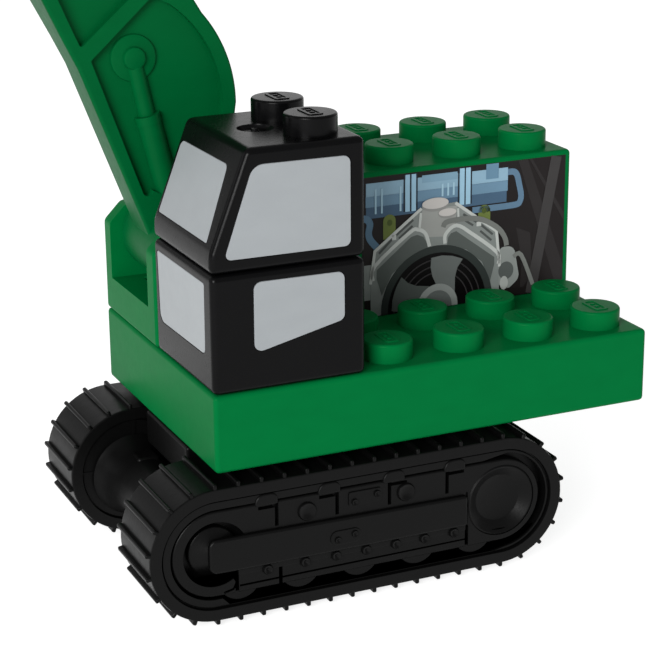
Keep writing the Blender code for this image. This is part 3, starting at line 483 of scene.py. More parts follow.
def pane(name, inset, depth, proud):
    """A window's outline as a plate, from a depth inside its wall to a height above it."""
    loop = window_loop(WINDOWS[name], inset)
    if name.startswith("side"):
        return outline_solid([loop], CAB_Y[1] - depth, CAB_Y[1] + proud)
    if name == "front_lower":
        return outline_solid([loop], FRONT - depth, FRONT + proud, "YZ")
    plate = outline_solid([loop], -depth, proud, "XY")
    plate.data.transform(slope_frame())
    return plate


def build_cab():
    low = hollow_brick(CAB_X, CAB_Y, DECK_TOP, CAB_MID, CAB_EDGE)
    cut(low, *[pane(name, 0.0, PRINT_DEPTH, 1.0) for name in ("side_lower", "front_lower")])
    covered = cylinders([(x, y, CAB_MID + 1.0) for x in columns(0, 2) for y in (5, 15)], "Z", STUD_R, 2.2)
    piece(gather([low, covered]), "cab_lower_brick", "upper_body", BLACK, "black_abs", "cab_lower")

    foot = CAB_MID + 0.14
    side = [(CAB_X[0], foot), (FRONT, foot), (FRONT, LIP_Z), (ROOF_FRONT, CAB_ROOF), (CAB_X[0], CAB_ROOF)]
    high = round_edges(outline_solid([side], *CAB_Y), CAB_EDGE, angle=12)
    room = [(CAB_X[0] + WALL, CAB_MID - 1), (FRONT - WALL, CAB_MID - 1), (FRONT - WALL, LIP_Z - 0.6),
            (ROOF_FRONT - 1.5, CAB_ROOF - LID), (CAB_X[0] + WALL, CAB_ROOF - LID)]
    cut(high, outline_solid([room], CAB_Y[0] + WALL, CAB_Y[1] - WALL))
    cut(high, *[pane(name, 0.0, PRINT_DEPTH, 1.0) for name in ("side_upper", "windshield")])
    roof_middle = (columns(0, 1)[0] - PITCH / 2, PITCH, CAB_ROOF)
    cut(high, turned([(0.0, 1.0), (2.35, 1.0), (2.25, -0.05), (1.95, -0.45), (0.0, -0.45)], roof_middle))
    gate = turned([(0.0, -0.02), (0.4, -0.05), (0.6, -0.5), (0.0, -0.5)], roof_middle)
    roof_studs = studs(columns(1, 2), (5, 15), CAB_ROOF)
    piece(gather([high, gate, roof_studs]), "cab_upper_brick", "upper_body", BLACK, "black_abs", "cab_upper")

    for name in WINDOWS:
        node = name if name == "windshield" else "window_" + name
        plate = round_edges(pane(name, 0.05, PRINT_DEPTH - 0.05, 0.0), 0.12, 2, 60)
        piece(plate, node + "_pane", "upper_body", WINDOW, "window_print", node)


# ---------------- printed engine
INK_Y = ENGINE_Y[1]
INK_MID = -20.5     # the picture's middle along the toy
INK_T = 0.03        # one layer's thickness
INK_OWN = 0.8


def ink_solid(loop, layer):
    """One layer thick; the outline is (towards the rear, up) from the picture's middle."""
    laid = [(INK_MID - a, DECK_TOP + b) for a, b in loop]
    return outline_solid([laid], INK_Y + INK_T * (layer - 1), INK_Y + INK_T * layer)


def stroke(points, width):
    """A polyline as an outline of even width."""
    line = [Vector(p) for p in points]
    left, right = [], []
    for i, here in enumerate(line):
        before = (here - line[i - 1]).normalized() if i else None
        after = (line[i + 1] - here).normalized() if i < len(line) - 1 else None
        run = ((before or after) + (after or before)).normalized()
        normal = Vector((-run.y, run.x))
        reach = width / 2 / max(abs(normal.dot(Vector((-(before or after).y, (before or after).x)))), 0.5)
        left.append(tuple(here + normal * reach))
        right.append(tuple(here - normal * reach))
    return left + right[::-1]


def smooth_line(points):
    """A Catmull-Rom curve through the points."""
    steps = 4
    line = [Vector(points[0])] + [Vector(p) for p in points] + [Vector(points[-1])]
    out = []
    for p0, p1, p2, p3 in zip(line, line[1:], line[2:], line[3:]):
        for k in range(steps):
            t = k / steps
            out.append(tuple(0.5 * ((2 * p1) + (p2 - p0) * t + (2 * p0 - 5 * p1 + 4 * p2 - p3) * t * t
                                    + (3 * p1 - p0 - 3 * p2 + p3) * t ** 3)))
    return out + [tuple(points[-1])]


def oval(a, b, ra, rb, steps=28):
    """An ellipse about (a, b)."""
    return [(a + ra * math.cos(2 * math.pi * k / steps), b + rb * math.sin(2 * math.pi * k / steps))
            for k in range(steps)]


FAN = (0.1, 0.4)    # the fan's middle in the picture
FLOOR = 0.12        # the picture's lower edge


def fan_blade(turn):
    """One swept blade of the fan, turned about the hub."""
    shape = [(-0.2, 2.9), (-0.8, 4.2), (-1.05, 5.4), (-0.95, 6.7), (0.6, 6.85), (2.2, 6.6), (3.75, 6.0),
             (2.95, 4.9), (2.6, 3.6), (2.6, 1.6), (0.6, 1.0)]
    t = math.radians(turn)
    return [(FAN[0] + a * math.cos(t) - b * math.sin(t), FAN[1] + a * math.sin(t) + b * math.cos(t))
            for a, b in shape]


def above_floor(loop):
    """The part of an outline above the picture's lower edge."""
    kept = []
    for (a0, b0), (a1, b1) in zip(loop, loop[1:] + loop[:1]):
        if b0 >= FLOOR:
            kept.append((a0, b0))
        if (b0 - FLOOR) * (b1 - FLOOR) < 0:
            share = (FLOOR - b0) / (b1 - b0)
            kept.append((a0 + (a1 - a0) * share, FLOOR))
    return kept


def half_ring(outer, inner):
    """A ring about the fan's middle, or a disc, cut off at the picture's lower edge."""
    def half(radius):
        low = math.degrees(math.asin((FLOOR - FAN[1]) / radius))
        return arc(FAN, radius, low, 180 - low, 40)

    return half(outer) + half(inner)[::-1] if inner else half(outer)


def engine_picture():
    """Rows of (ink name, colour, layer, outlines)."""
    left_arch = [(-8.8, 5.2), (-8.8, 6.4), (-3.8, 10.3), (-2.9, 10.5), (-2.0, 10.1), (-1.6, 9.4),
                 (-1.2, 8.4), (-4.0, 7.6), (-6.6, 5.6), (-8.1, 2.8)]
    right_arch = [(1.5, 8.4), (1.7, 9.6), (2.1, 10.1), (2.9, 10.3), (8.7, 6.0), (8.7, 5.0), (8.1, 2.8),
                  (6.8, 5.6), (4.4, 7.6)]
    body = [(-9.7, FLOOR), (-9.7, 4.6), (-9.1, 9.0), (-2.4, 14.0), (2.7, 14.3), (8.9, 9.6), (9.5, 4.6),
            (9.5, FLOOR)]
    left_trim = [(-9.4, 5.0), (-9.1, 7.0), (-4.1, 10.9), (-2.8, 11.2), (-1.7, 10.5), (-1.1, 8.7)]
    right_trim = [(1.2, 8.8), (1.3, 10.1), (2.9, 11.1), (5.2, 9.7), (9.1, 6.6), (9.3, 5.0)]
    trims = [
        stroke([(-9.75, 4.6), (-9.1, 9.0), (-2.3, 14.0)], 0.42),
        stroke([(2.7, 14.2), (8.95, 9.6), (9.5, 4.6)], 0.42),
        stroke(smooth_line(left_trim), 0.5),
        stroke(smooth_line(right_trim), 0.5),
        stroke([(-2.4, 13.4), (-2.6, 11.3)], 0.35),
        stroke([(3.1, 13.4), (3.2, 11.6)], 0.3),
        block((-6.6, -6.0), (10.2, 10.9)),
        block((5.9, 6.6), (10.6, 11.2))]
    slots = [
        stroke([(-8.5, 8.6), (-6.3, 10.6), (-3.5, 12.6)], 0.32),
        stroke([(-8.1, 8.0), (-6.6, 9.3)], 0.3),
        stroke([(-5.6, 10.3), (-3.6, 11.8)], 0.3),
        stroke([(3.9, 12.5), (6.4, 10.9), (8.4, 9.2)], 0.32),
        stroke([(4.2, 11.6), (5.4, 10.8)], 0.3),
        stroke([(6.5, 9.9), (8.2, 8.4)], 0.3)]
    plate = [(-2.2, 13.8), (-2.5, 11.3), (-1.4, 10.0), (0.9, 9.8), (2.7, 11.4), (3.0, 13.8)]
    straps = [block(pair, (13.8, 18.75))
              for pair in ((-4.65, -4.0), (-3.75, -3.1), (3.35, 4.05), (4.25, 4.95))]
    seams = [block((a, a + 0.2), (13.8, 18.7)) for a in (-4.9, -3.98, -3.05, 3.1, 4.07, 4.98)]
    tick = 0.13
    ticks = [block((a - tick, a + tick), (14.0, 17.3)) for a in (-8.95, -8.05, -5.35)]
    ticks += [block((a - tick, a + tick), (15.3, 17.0)) for a in (0.8, 1.63, 2.45)]
    rings = [half_ring(r, r - 0.16) for r in (6.5, 5.6, 4.7)]
    coil = [(10.6, 17.5), (11.5, 17.45), (12.0, 16.9), (12.3, 15.8), (12.65, 14.2), (12.5, 13.3),
            (11.9, 12.9), (9.0, 12.85), (5.3, 12.85)]
    left_hose = [(-10.9, 13.55), (-10.2, 13.4), (-9.75, 12.7), (-9.95, 11.6), (-9.7, 10.6), (-8.6, 9.3)]
    hose = [(0.9, 11.1), (1.7, 11.8), (5.9, 11.7), (8.9, 10.2), (10.2, 8.6), (10.5, 7.4)]
    branch = [(11.6, 5.7), (12.8, 5.8), (14.7, 1.4)]
    hoses = [stroke(smooth_line(hose), 0.72), stroke(smooth_line(branch), 0.6)]
    canister = rounded([(9.3, 7.3, 0.9), (11.7, 7.2, 1.2), (12.6, 2.6, 1.2), (11.0, 1.3, 0.6),
                        (9.4, 2.0, 0.6)], 5)
    tab = 0.9
    tabs = [rounded([(a - tab, 10.4, 0), (a + tab, 10.4, 0), (a + tab, top, 0.85), (a - tab, top, 0.85)])
            for a, top in ((-6.95, 13.7), (7.1, 13.4))]
    tab_holes = [oval(a, b, 0.36, 0.42, 16) for a, b in ((-6.9, 12.6), (7.05, 12.65))]
    far_braces = [
        [(12.2, 18.9), (13.6, 18.9), (19.4, 3.6), (19.4, 0.6), (18.2, 1.2)],
        [(13.9, 18.9), (14.3, 18.9), (19.4, 10.9), (19.4, 9.8)],
        [(12.0, 9.7), (14.2, 8.7), (14.6, 3.0), (13.3, 1.2), (12.8, 1.2), (13.0, 4.8)]]
    return [
        ("backdrop", (33, 29, 29), 1, [block((-10.9, 19.45), (FLOOR, 18.95))]),
        ("braces", (62, 60, 60), 3, [stroke([(18.0, 18.9), (14.45, 0.2)], 1.6)]),
        ("braces_dim", (45, 42, 42), 2, far_braces),
        ("tank_low", (74, 101, 126), 2, [block((-10.3, 10.45), (13.45, 15.0))]),
        ("tank_mid", (112, 146, 170), 2, [block((-10.35, 10.6), (14.95, 16.4))]),
        ("tank_high", (146, 181, 202), 2, [block((-10.3, 10.6), (16.35, 18.15))]),
        ("tank_seams", (38, 44, 52), 3, seams),
        ("tank_straps", (163, 203, 226), 4, straps),
        ("tank_ticks", (170, 206, 224), 4, ticks),
        ("tank_step", (132, 168, 190), 3, [block((-2.2, 3.0), (17.4, 18.4))]),
        ("bracket", (106, 142, 166), 4, [block((7.3, 9.15), (16.85, 18.9))]),
        ("coil_pipe", (96, 126, 150), 3, [stroke(smooth_line(coil), 0.85)]),
        ("left_pipe", (92, 124, 148), 3, [stroke(smooth_line(left_hose), 0.95)]),
        ("tabs", (108, 122, 62), 3, tabs),
        ("tab_holes", (78, 92, 44), 4, tab_holes),
        ("shoulder", (140, 146, 143), 3, [block((-10.8, -9.6), (2.4, 7.2))]),
        ("engine_body", (138, 144, 141), 4, [body]),
        ("engine_plate", (163, 165, 161), 5, [plate]),
        ("arches", (92, 98, 95), 5, [left_arch, right_arch]),
        ("slots", (84, 88, 86), 5, slots),
        ("trims", (200, 204, 200), 6, trims),
        ("ring", (52, 58, 56), 6, [half_ring(8.3, 7.3)]),
        ("well", (14, 12, 13), 6, [half_ring(7.3, 0)]),
        ("well_rings", (56, 54, 55), 7, rings),
        ("blade_low", (84, 90, 87), 8, [above_floor(fan_blade(81))]),
        ("blade_main", (110, 115, 113), 8, [above_floor(fan_blade(0))]),
        ("hub", (150, 155, 152), 9, [half_ring(3.0, 0)]),
        ("hub_face", (104, 109, 107), 10, [half_ring(2.1, 0)]),
        ("canister", (146, 151, 148), 5, [canister]),
        ("canister_hole", (92, 97, 95), 6, [oval(10.5, 3.9, 1.15, 1.25)]),
        ("canister_tip", (178, 182, 178), 7, [oval(10.2, 2.2, 0.62, 0.95)]),
        ("hose", (122, 125, 121), 7, hoses),
        ("cap_side", (150, 150, 147), 7, [oval(-0.3, 14.25, 1.97, 0.86), oval(1.5, 12.9, 1.32, 0.64)]),
        ("cap", (206, 202, 198), 8, [oval(-0.3, 14.5, 1.95, 0.74), oval(1.5, 13.08, 1.3, 0.52)]),
    ]


def build_engine_picture():
    for name, rgb, layer, outlines in engine_picture():
        ink = plastic("ink_" + name, rgb, 0.33, specular=0.1, own=INK_OWN)
        parts = gather([ink_solid(outline, layer) for outline in outlines])
        nodes = ["engine_panel"] if name == "backdrop" else []
        piece(parts, "engine_print_" + name, "upper_body", ink, "engine_print", *nodes)


# ---------------- boom bracket and boom
def on_arm(point):
    """A place in the side view, at the middle of the arm's width."""
    return (point[0], ARM_Y, point[1])


def across(half):
    """The levels of a solid as wide as twice the half, about the arm's middle."""
    return ARM_Y - half, ARM_Y + half


def skin(face, side, depth):
    """The levels of a cut into a side face: from a depth under it to 1 mm clear of it."""
    return sorted((face - side * depth, face + side))


def build_bracket():
    x, y = CAB_X, ENGINE_Y
    foot, top = DECK_TOP + SEAM, CAB_MID
    cheek = [(x[0], foot), (x[1], foot), (x[1], DECK_TOP + 12.3), (x[1] - 2.4, top), (x[0], top)]
    body = round_edges(outline_solid([cheek], *y), EDGE, angle=30)
    inner = (y[0] + 2.75, y[1] - 2.75)
    lip, back = DECK_TOP + 4.8, DECK_TOP + 9.8
    profile = [(x[0] + 2.4, lip), (x[1] + 1, lip), (x[1] + 1, top + 1), (x[0] - 1, top + 1),
               (x[0] - 1, back), (x[0] + 2.4, back)]
    cut(body, outline_solid([profile], *inner))
    well = ((BOOM_AXIS[0] - 4.4, x[1] - 3.8), (inner[0] + 1.5, inner[1] - 1.5), (DECK_TOP + 3.9, lip + 1))
    cut(body, box(*well))
    cut(body, cylinders([on_arm(BOOM_AXIS)], "Y", 2.05, 30))
    round_edges(body, 0.12, 2, 60)
    piece(body, "boom_bracket_brick", "upper_body", GREEN, "green_abs", "boom_bracket")
    pin = turned([(0.0, 0.1), (1.5, 0.1), (1.95, -0.1), (1.95, -19.0), (1.5, -19.2), (0.0, -19.2)],
                 (BOOM_AXIS[0], y[0] + 0.4, BOOM_AXIS[1]), "Y")
    piece(pin, "boom_hinge_pin", "upper_body", GREEN, "green_abs", "boom_pin")


BOOM_HALF, TIP_R, TIP_HALF = 3.0, 4.8, 5.0
RECESS = 1.2        # depth of the panels in the boom's faces
RISE = 63.9         # slope of the boom's upper part, in degrees
KNEE = (25.3, DECK_TOP + 34.8)
HEEL_R = 17.9
HEEL = (4.6 + HEEL_R, DECK_TOP + 29.0)
LUG, LUG_R = (14.1, DECK_TOP + 43.6), 3.0


def boom_outline():
    foot = DECK_TOP + 11.0
    points = [(16.4, foot), KNEE, along(BOOM_TIP, RISE - 90, TIP_R)]
    points += arc(BOOM_TIP, TIP_R, RISE - 80, RISE + 70, 20)
    points += [along(BOOM_TIP, RISE + 78, TIP_R), (16.9, DECK_TOP + 48.2), (16.2, DECK_TOP + 47.2)]
    points += arc(LUG, LUG_R, 75, 160, 10)
    points += arc(HEEL, HEEL_R, 139.5, 180, 18)
    return points + [(7.4, foot)]


def build_boom():
    body = slab(boom_outline(), across(BOOM_HALF), 0.45, 3, 60)
    panel_rim = 1.9
    lower = rounded([(16.45, DECK_TOP + 15.1, 0.7), (23.7, DECK_TOP + 35.8, 0.25),
                     (15.0, DECK_TOP + 43.6, 0.3)])
    lower += arc(HEEL, HEEL_R - panel_rim, 125, 180, 20)
    lower += [(7.2, DECK_TOP + 19.6), (8.2, DECK_TOP + 15.4), (8.6, DECK_TOP + 14.9), (9.2, DECK_TOP + 14.8)]
    top_end = along(BOOM_TIP, RISE + 180, 7.0)
    upper = rounded([(24.9, DECK_TOP + 37.5, 0.25), (*along(top_end, RISE - 90, 2.6), 0.8),
                     (*along(top_end, RISE + 90, 2.4), 0.8), (18.4, DECK_TOP + 43.1, 0.3)])
    for side in (-1, 1):
        levels = skin(ARM_Y + side * BOOM_HALF, side, RECESS)
        cut(body, outline_solid([lower], *levels), outline_solid([upper], *levels))
    spread(body, -27.0, -12.0, TIP_HALF / BOOM_HALF)
    slot_in, slot_out, clear = along(BOOM_TIP, RISE + 180, 15.0), along(BOOM_TIP, RISE, 8), 12
    corners = [along(slot_in, RISE - 90, clear), along(slot_out, RISE - 90, clear),
               along(slot_out, RISE + 90, clear), along(slot_in, RISE + 90, clear)]
    cut(body, outline_solid([corners], *across(2.5)))
    for hole, radius in ((BOOM_TIP, 1.75), (LUG, 1.0)):
        cut(body, cylinders([on_arm(hole)], "Y", radius, 30))
    round_edges(body, 0.14, 2, 55)
    drum = turned(mirrored([(0.0, 6.85), (4.6, 6.85), (5.0, 6.7), (5.15, 6.3)]), on_arm(BOOM_AXIS), "Y", 64)
    rams = [part for side in (-1, 1) for part in lift_ram(side)]
    piece(gather([body, drum, *rams]), "boom_arm_shell", "boom_arm", ARM_GREEN, "green_abs", "boom")
    cap = [(0.0, 5.35), (1.2, 5.35), (1.6, 5.15), (1.65, -5.15), (1.2, -5.35), (0.0, -5.35)]
    hinge = turned(cap, on_arm(BOOM_TIP), "Y")
    piece(hinge, "stick_hinge_pin", "boom_arm", BLACK, "black_abs", "stick_pin")


def spread(body, start, end, factor):
    """Widen the boom towards its fork, growing between two distances from the fork's pin."""
    direction = Vector((math.cos(math.radians(RISE)), 0, math.sin(math.radians(RISE))))
    origin = Vector(on_arm(BOOM_TIP))
    bm = bmesh.new()
    bm.from_mesh(body.data)
    for distance in (start, (start + end) / 2, end):
        geometry = bm.verts[:] + bm.edges[:] + bm.faces[:]
        bmesh.ops.bisect_plane(
            bm, geom=geometry, dist=1e-4, plane_co=origin + direction * distance, plane_no=direction)
    for vert in bm.verts:
        reach = (vert.co - origin).dot(direction)
        share = min(max((reach - start) / (end - start), 0.0), 1.0)
        vert.co.y = ARM_Y + (vert.co.y - ARM_Y) * (1 + (factor - 1) * share)
    bm.to_mesh(body.data)
    bm.free()


def lift_ram(side):
    """The moulded lift cylinder on one face of the boom: eye, boss, rod, gland and barrel."""
    floor = ARM_Y + side * (BOOM_HALF - RECESS)
    eye, joint, foot = (17.95, DECK_TOP + 35.6), (16.4, DECK_TOP + 28.2), (13.2, DECK_TOP + 14.9)

    def at(point):
        return (point[0], floor, point[1])

    disc = [(0.0, 0.5), (2.7, 0.5), (2.9, 0.42), (2.98, 0.25), (2.98, -0.3), (0.0, -0.3)]
    boss = [(0.0, 1.15), (1.1, 1.15), (1.35, 1.05), (1.45, 0.85), (1.48, 0.0), (0.0, 0.0)]
    line = (Vector(joint) - Vector(eye)).normalized()
    gland = [tuple(Vector(joint) - line * 0.1), tuple(Vector(joint) + line * 1.1)]
    rod_r, gland_r, barrel_r = 1.12, 1.7, 1.6
    return [
        head(disc, side, at(eye), 56), head(boss, side, at(eye), 36),
        rod(at(eye), at(joint), rod_r), rod(at(gland[0]), at(gland[1]), gland_r, 40),
        rod(at(joint), at(foot), barrel_r, 40)]


# ---------------- stick and bucket
STICK_ANGLE = math.degrees(math.atan2(BUCKET_AXIS[1] - BOOM_TIP[1], BUCKET_AXIS[0] - BOOM_TIP[0]))
STICK_HALF = 2.2


def build_stick():
    tail = along(BOOM_TIP, STICK_ANGLE + 180, 7.0)
    widest = along(BOOM_TIP, STICK_ANGLE, 9)
    points = arc(BUCKET_AXIS, 2.95, STICK_ANGLE - 85, STICK_ANGLE + 85, 20)
    points.append(along(widest, STICK_ANGLE + 90, 3.85))
    points += arc(tail, 2.35, STICK_ANGLE + 100, STICK_ANGLE + 260, 16)
    points.append(along(widest, STICK_ANGLE - 90, 4.15))
    body = slab(points, across(STICK_HALF), 0.4, 3, 60)
    near, far = along(BOOM_TIP, STICK_ANGLE, 8.5), along(BOOM_TIP, STICK_ANGLE, 34.0)
    panel = rounded([(*along(near, STICK_ANGLE - 90, 2.7), 0.9), (*along(far, STICK_ANGLE - 90, 1.7), 0.8),
                     (*along(far, STICK_ANGLE + 90, 1.7), 0.8), (*along(near, STICK_ANGLE + 90, 2.5), 0.9)])
    for side in (-1, 1):
        cut(body, outline_solid([panel], *skin(ARM_Y + side * STICK_HALF, side, 0.6)))
    round_edges(body, 0.12, 2, 60)
    ribs = []
    for distance in (14.5, 20.5, 26.5):
        middle = along(BOOM_TIP, STICK_ANGLE, distance)
        ends = along(middle, STICK_ANGLE + 90, 2.3), along(middle, STICK_ANGLE - 90, 2.3)
        ribs.append(slab(stroke(ends, 0.7), across(STICK_HALF - 0.15), 0.12, 2))
    piece(gather([body, *ribs]), "stick_arm_shell", "stick_arm", ARM_GREEN, "green_abs", "stick")
    cap = [(0.0, 4.8), (1.0, 4.8), (1.35, 4.6), (1.4, -4.6), (1.0, -4.8), (0.0, -4.8)]
    hinge = turned(cap, on_arm(BUCKET_AXIS), "Y")
    piece(hinge, "bucket_hinge_pin", "stick_arm", BLACK, "black_abs", "bucket_pin")


SHELL_R = 7.6
SHELL = (BUCKET_AXIS[0] + 0.6, BUCKET_AXIS[1] - 10.6)


def bucket_side(inset):
    """The bucket's outline, or the inside of its wall, which is open towards the teeth."""
    x, z = BUCKET_AXIS
    back = [(x - 3.2 - inset, z - 3.7 - inset), (x + 2.2, z - 3.7 - inset)]
    return back + arc(SHELL, SHELL_R - inset, 62, -78, 30) + [(x - 9.0 - inset * 3, z - 18.0 + inset)]


def build_bucket():
    x, z = BUCKET_AXIS
    half, wall = 8.0, 1.1
    body = slab(bucket_side(0.0), across(half), 0.5, 3, 50)
    cut(body, outline_solid([bucket_side(wall)], *across(half - wall)))
    round_edges(body, 0.15, 2, 50)
    extras = []
    ear = rounded([(x + 3.8, z - 4.6, 0), (x - 3.2, z - 4.6, 0), (x - 2.9, z + 2.2, 2.4),
                   (x + 2.9, z + 2.2, 2.4)], 8)
    cheek = [(x - 4.6, z - 5.2), (x - 3.4, z - 5.0), (x - 8.6, z - 17.6), (x - 9.6, z - 17.6)]
    for side in (-1, 1):
        levels = sorted((ARM_Y + side * 2.5, ARM_Y + side * 4.5))
        extras.append(slab(ear, levels, 0.3, 3, 60))
        levels = sorted((ARM_Y + side * (half - 1.2), ARM_Y + side * (half - 0.01)))
        extras.append(slab(cheek, levels, 0.2, 2, 50))
    teeth, tooth_gap, tooth_half = 4, 4.4, 1.1
    tooth = [(x - 5.6, z - 18.0), (x - 5.6, z - 16.5), (x - 9.4, z - 16.9), (x - 11.9, z - 18.05)]
    for k in range(teeth):
        y = ARM_Y + tooth_gap * (k - (teeth - 1) / 2)
        extras.append(slab(tooth, (y - tooth_half, y + tooth_half), 0.22, 2, 30))
    band = arc(SHELL, SHELL_R + 0.02, 50, -66, 24) + arc(SHELL, SHELL_R - 0.6, -66, 50, 24)
    for y in (ARM_Y - 4.6, ARM_Y, ARM_Y + 4.6):
        extras.append(outline_solid([band], y - 0.5, y + 0.5))
    piece(gather([body, *extras]), "bucket_shell", "bucket_scoop", BLACK, "black_abs", "bucket")


# ---------------- crawler base
def belt_place(s):
    """A place on the belt's outer side and the direction outwards, a way along the loop."""
    straight, bend = 2 * AXLE_SPAN, math.pi * BELT_R
    s = s % (2 * (straight + bend))
    end, way = (1, s) if s < straight + bend else (-1, s - straight - bend)
    if way < straight:
        return (end * (way - AXLE_SPAN), TRACK_Z - end * BELT_R), -90 * end
    turn = -90 * end + math.degrees((way - straight) / BELT_R)
    return along((end * AXLE_SPAN, TRACK_Z), turn, BELT_R), turn


def cross_bars(inner, outer):
    """The raised bars across the belt, evenly spaced along it and sunk a little into it."""
    bm = bmesh.new()
    sunk = 0.4
    total = 2 * (2 * AXLE_SPAN + math.pi * BELT_R)
    offset = Matrix.Translation(((GROUSER_H - sunk) / 2, 0, 0))
    size = Matrix.Diagonal((sunk + GROUSER_H, outer - inner, GROUSER_W, 1.0))
    for k in range(GROUSERS):
        (x, z), turn = belt_place(total * k / GROUSERS)
        move = Matrix.Translation((x, (inner + outer) / 2, z)) @ Matrix.Rotation(-math.radians(turn), 4, "Y")
        bmesh.ops.create_cube(bm, size=1.0, matrix=move @ offset @ size)
    return round_edges(new_object("bars", bm), 0.2, 3)


def base_piece(parts, name, node):
    piece(gather(parts), name, "crawler_base", TRACK, "track_black", node)


def build_track(side, word, span):
    """A moulded belt, hollow behind a stepped rim, with hubs and ribs on its inner face."""
    belt = slab(stadium(BELT_R), span(TRACK_IN, TRACK_OUT), 0.25, 2)
    cut(belt, outline_solid([stadium(RIM_R)], *span(TRACK_OUT - 0.35, TRACK_OUT + 1)))
    bottom = TRACK_Z - RIM_R + 0.15
    hollow = arc(FRONT_AXLE, LEDGE_R, -90, 90, 36) + [(-16.8, TRACK_Z + LEDGE_R)]
    hollow += arc(REAR_AXLE, STEP_R, 98, 262, 36)
    hollow += [(-18.0, bottom), (17.8, bottom), (18.8, TRACK_Z - LEDGE_R)]
    cut(belt, outline_solid([hollow], *span(TRACK_IN + 2.4, TRACK_OUT + 1.5)))
    rim_groove = [stadium(RIM_R), stadium(RIM_R - 0.22)]
    cut(belt, outline_solid(rim_groove, *span(TRACK_OUT - 0.7, TRACK_OUT + 1)))
    inner_face = TRACK_IN + 0.9
    cut(belt, outline_solid([stadium(RIM_R)], *span(TRACK_IN - 1, inner_face)))
    middle = side * (TRACK_IN + TRACK_OUT) / 2
    for x in (-ROLLER_X, ROLLER_X):
        pocket = ((x - 4.6, x + 4.6), (middle - 2.5, middle + 2.5), (-1, TRACK_Z - STEP_R + 0.5))
        cut(belt, box(*pocket))
    round_edges(belt, 0.1, 2, 60)
    backing = outline_solid([stadium(RIM_R), stadium(FRAME_R - 0.1)], *span(18.4, 18.8))
    ribs, hubs = [], []
    hub_r = 6.85
    for x in (-AXLE_SPAN, AXLE_SPAN):
        for turn in (4, 94, 184, 274):
            ends = along((x, TRACK_Z), turn, 4.6), along((x, TRACK_Z), turn, hub_r + 0.25)
            ribs.append(outline_solid([stroke(ends, 0.3)], *span(inner_face - 0.62, inner_face + 0.2)))
        hubs.append(cylinders([(x, side * (inner_face - 0.05), TRACK_Z)], "Y", hub_r, 0.9, 64))
    rail = block((-13.0, 13.0), (TRACK_Z + 3.2, TRACK_Z + 4.0))
    ribs.append(outline_solid([rail], *span(inner_face - 0.4, inner_face + 0.2)))
    bars = cross_bars(*span(TRACK_IN + 0.1, TRACK_OUT - 0.1))
    base_piece([belt, bars, backing, *ribs, *hubs], "track_loop_" + word, "track_" + word)


DOME = [(0.0, 0.04), (0.6, 0.06), (0.95, 0.32), (1.08, 0.34), (1.2, 0.2), (1.24, -0.3), (0.0, -0.3)]
BOLT = [(0.0, 0.03), (0.1, 0.05), (0.46, 0.36), (0.55, 0.38), (0.64, 0.25), (0.66, -0.2), (0.0, -0.2)]
RIVET = [(0.0, 0.02), (0.1, 0.04), (0.32, 0.24), (0.39, 0.25), (0.45, 0.15), (0.47, -0.2), (0.0, -0.2)]


def frame_plate(side, span):
    """The side frame's plate with its slots, grooves and the round holes at its ends."""
    face = FRAME_FACE
    clear, half_slot = face + 1, 0.24
    body = slab(stadium(FRAME_R), span(FRAME_IN, face), 0.3, 3)
    deep = span(face - 0.9, clear)
    for x in (11.5, 3.45, -3.7, -11.75):
        cut(body, box((x - half_slot, x + half_slot), deep, (TRACK_Z + 2.3, TRACK_Z + 6.2)))
        tail = 2.4 if x > 0 else -2.4
        cut(body, box((x, x + tail), deep, (TRACK_Z + 4.75, TRACK_Z + 5.15)))
    lower = (TRACK_Z - 6.0, TRACK_Z - 2.6)
    for x in (11.1, 16.85, -14.6):
        cut(body, box((x - half_slot, x + half_slot), span(face - 0.8, clear), lower))
    cut(body, box((-14.7, -14.4), span(face - 0.25, clear), (TRACK_Z - 3.0, TRACK_Z + 2.0)))
    groove = [(16.5, 4.75), (16.5, 5.0), (-14.5, 5.2), (-14.5, 5.0)]
    cut(body, outline_solid([groove], *span(face - 0.3, clear)))
    for (x, z), radius, length in ((FRONT_AXLE, 4.2, 4.0), (REAR_AXLE, 4.78, 3.2)):
        cut(body, cylinders([(x, side * face, z)], "Y", radius, length, 64))
    hook = stroke([(17.5, 6.5), (16.85, 5.5), (17.3, 4.6), (18.6, 4.3)], 0.3)
    cut(body, outline_solid([hook], *span(face - 0.6, clear)))
    return round_edges(body, 0.16, 3, 60)


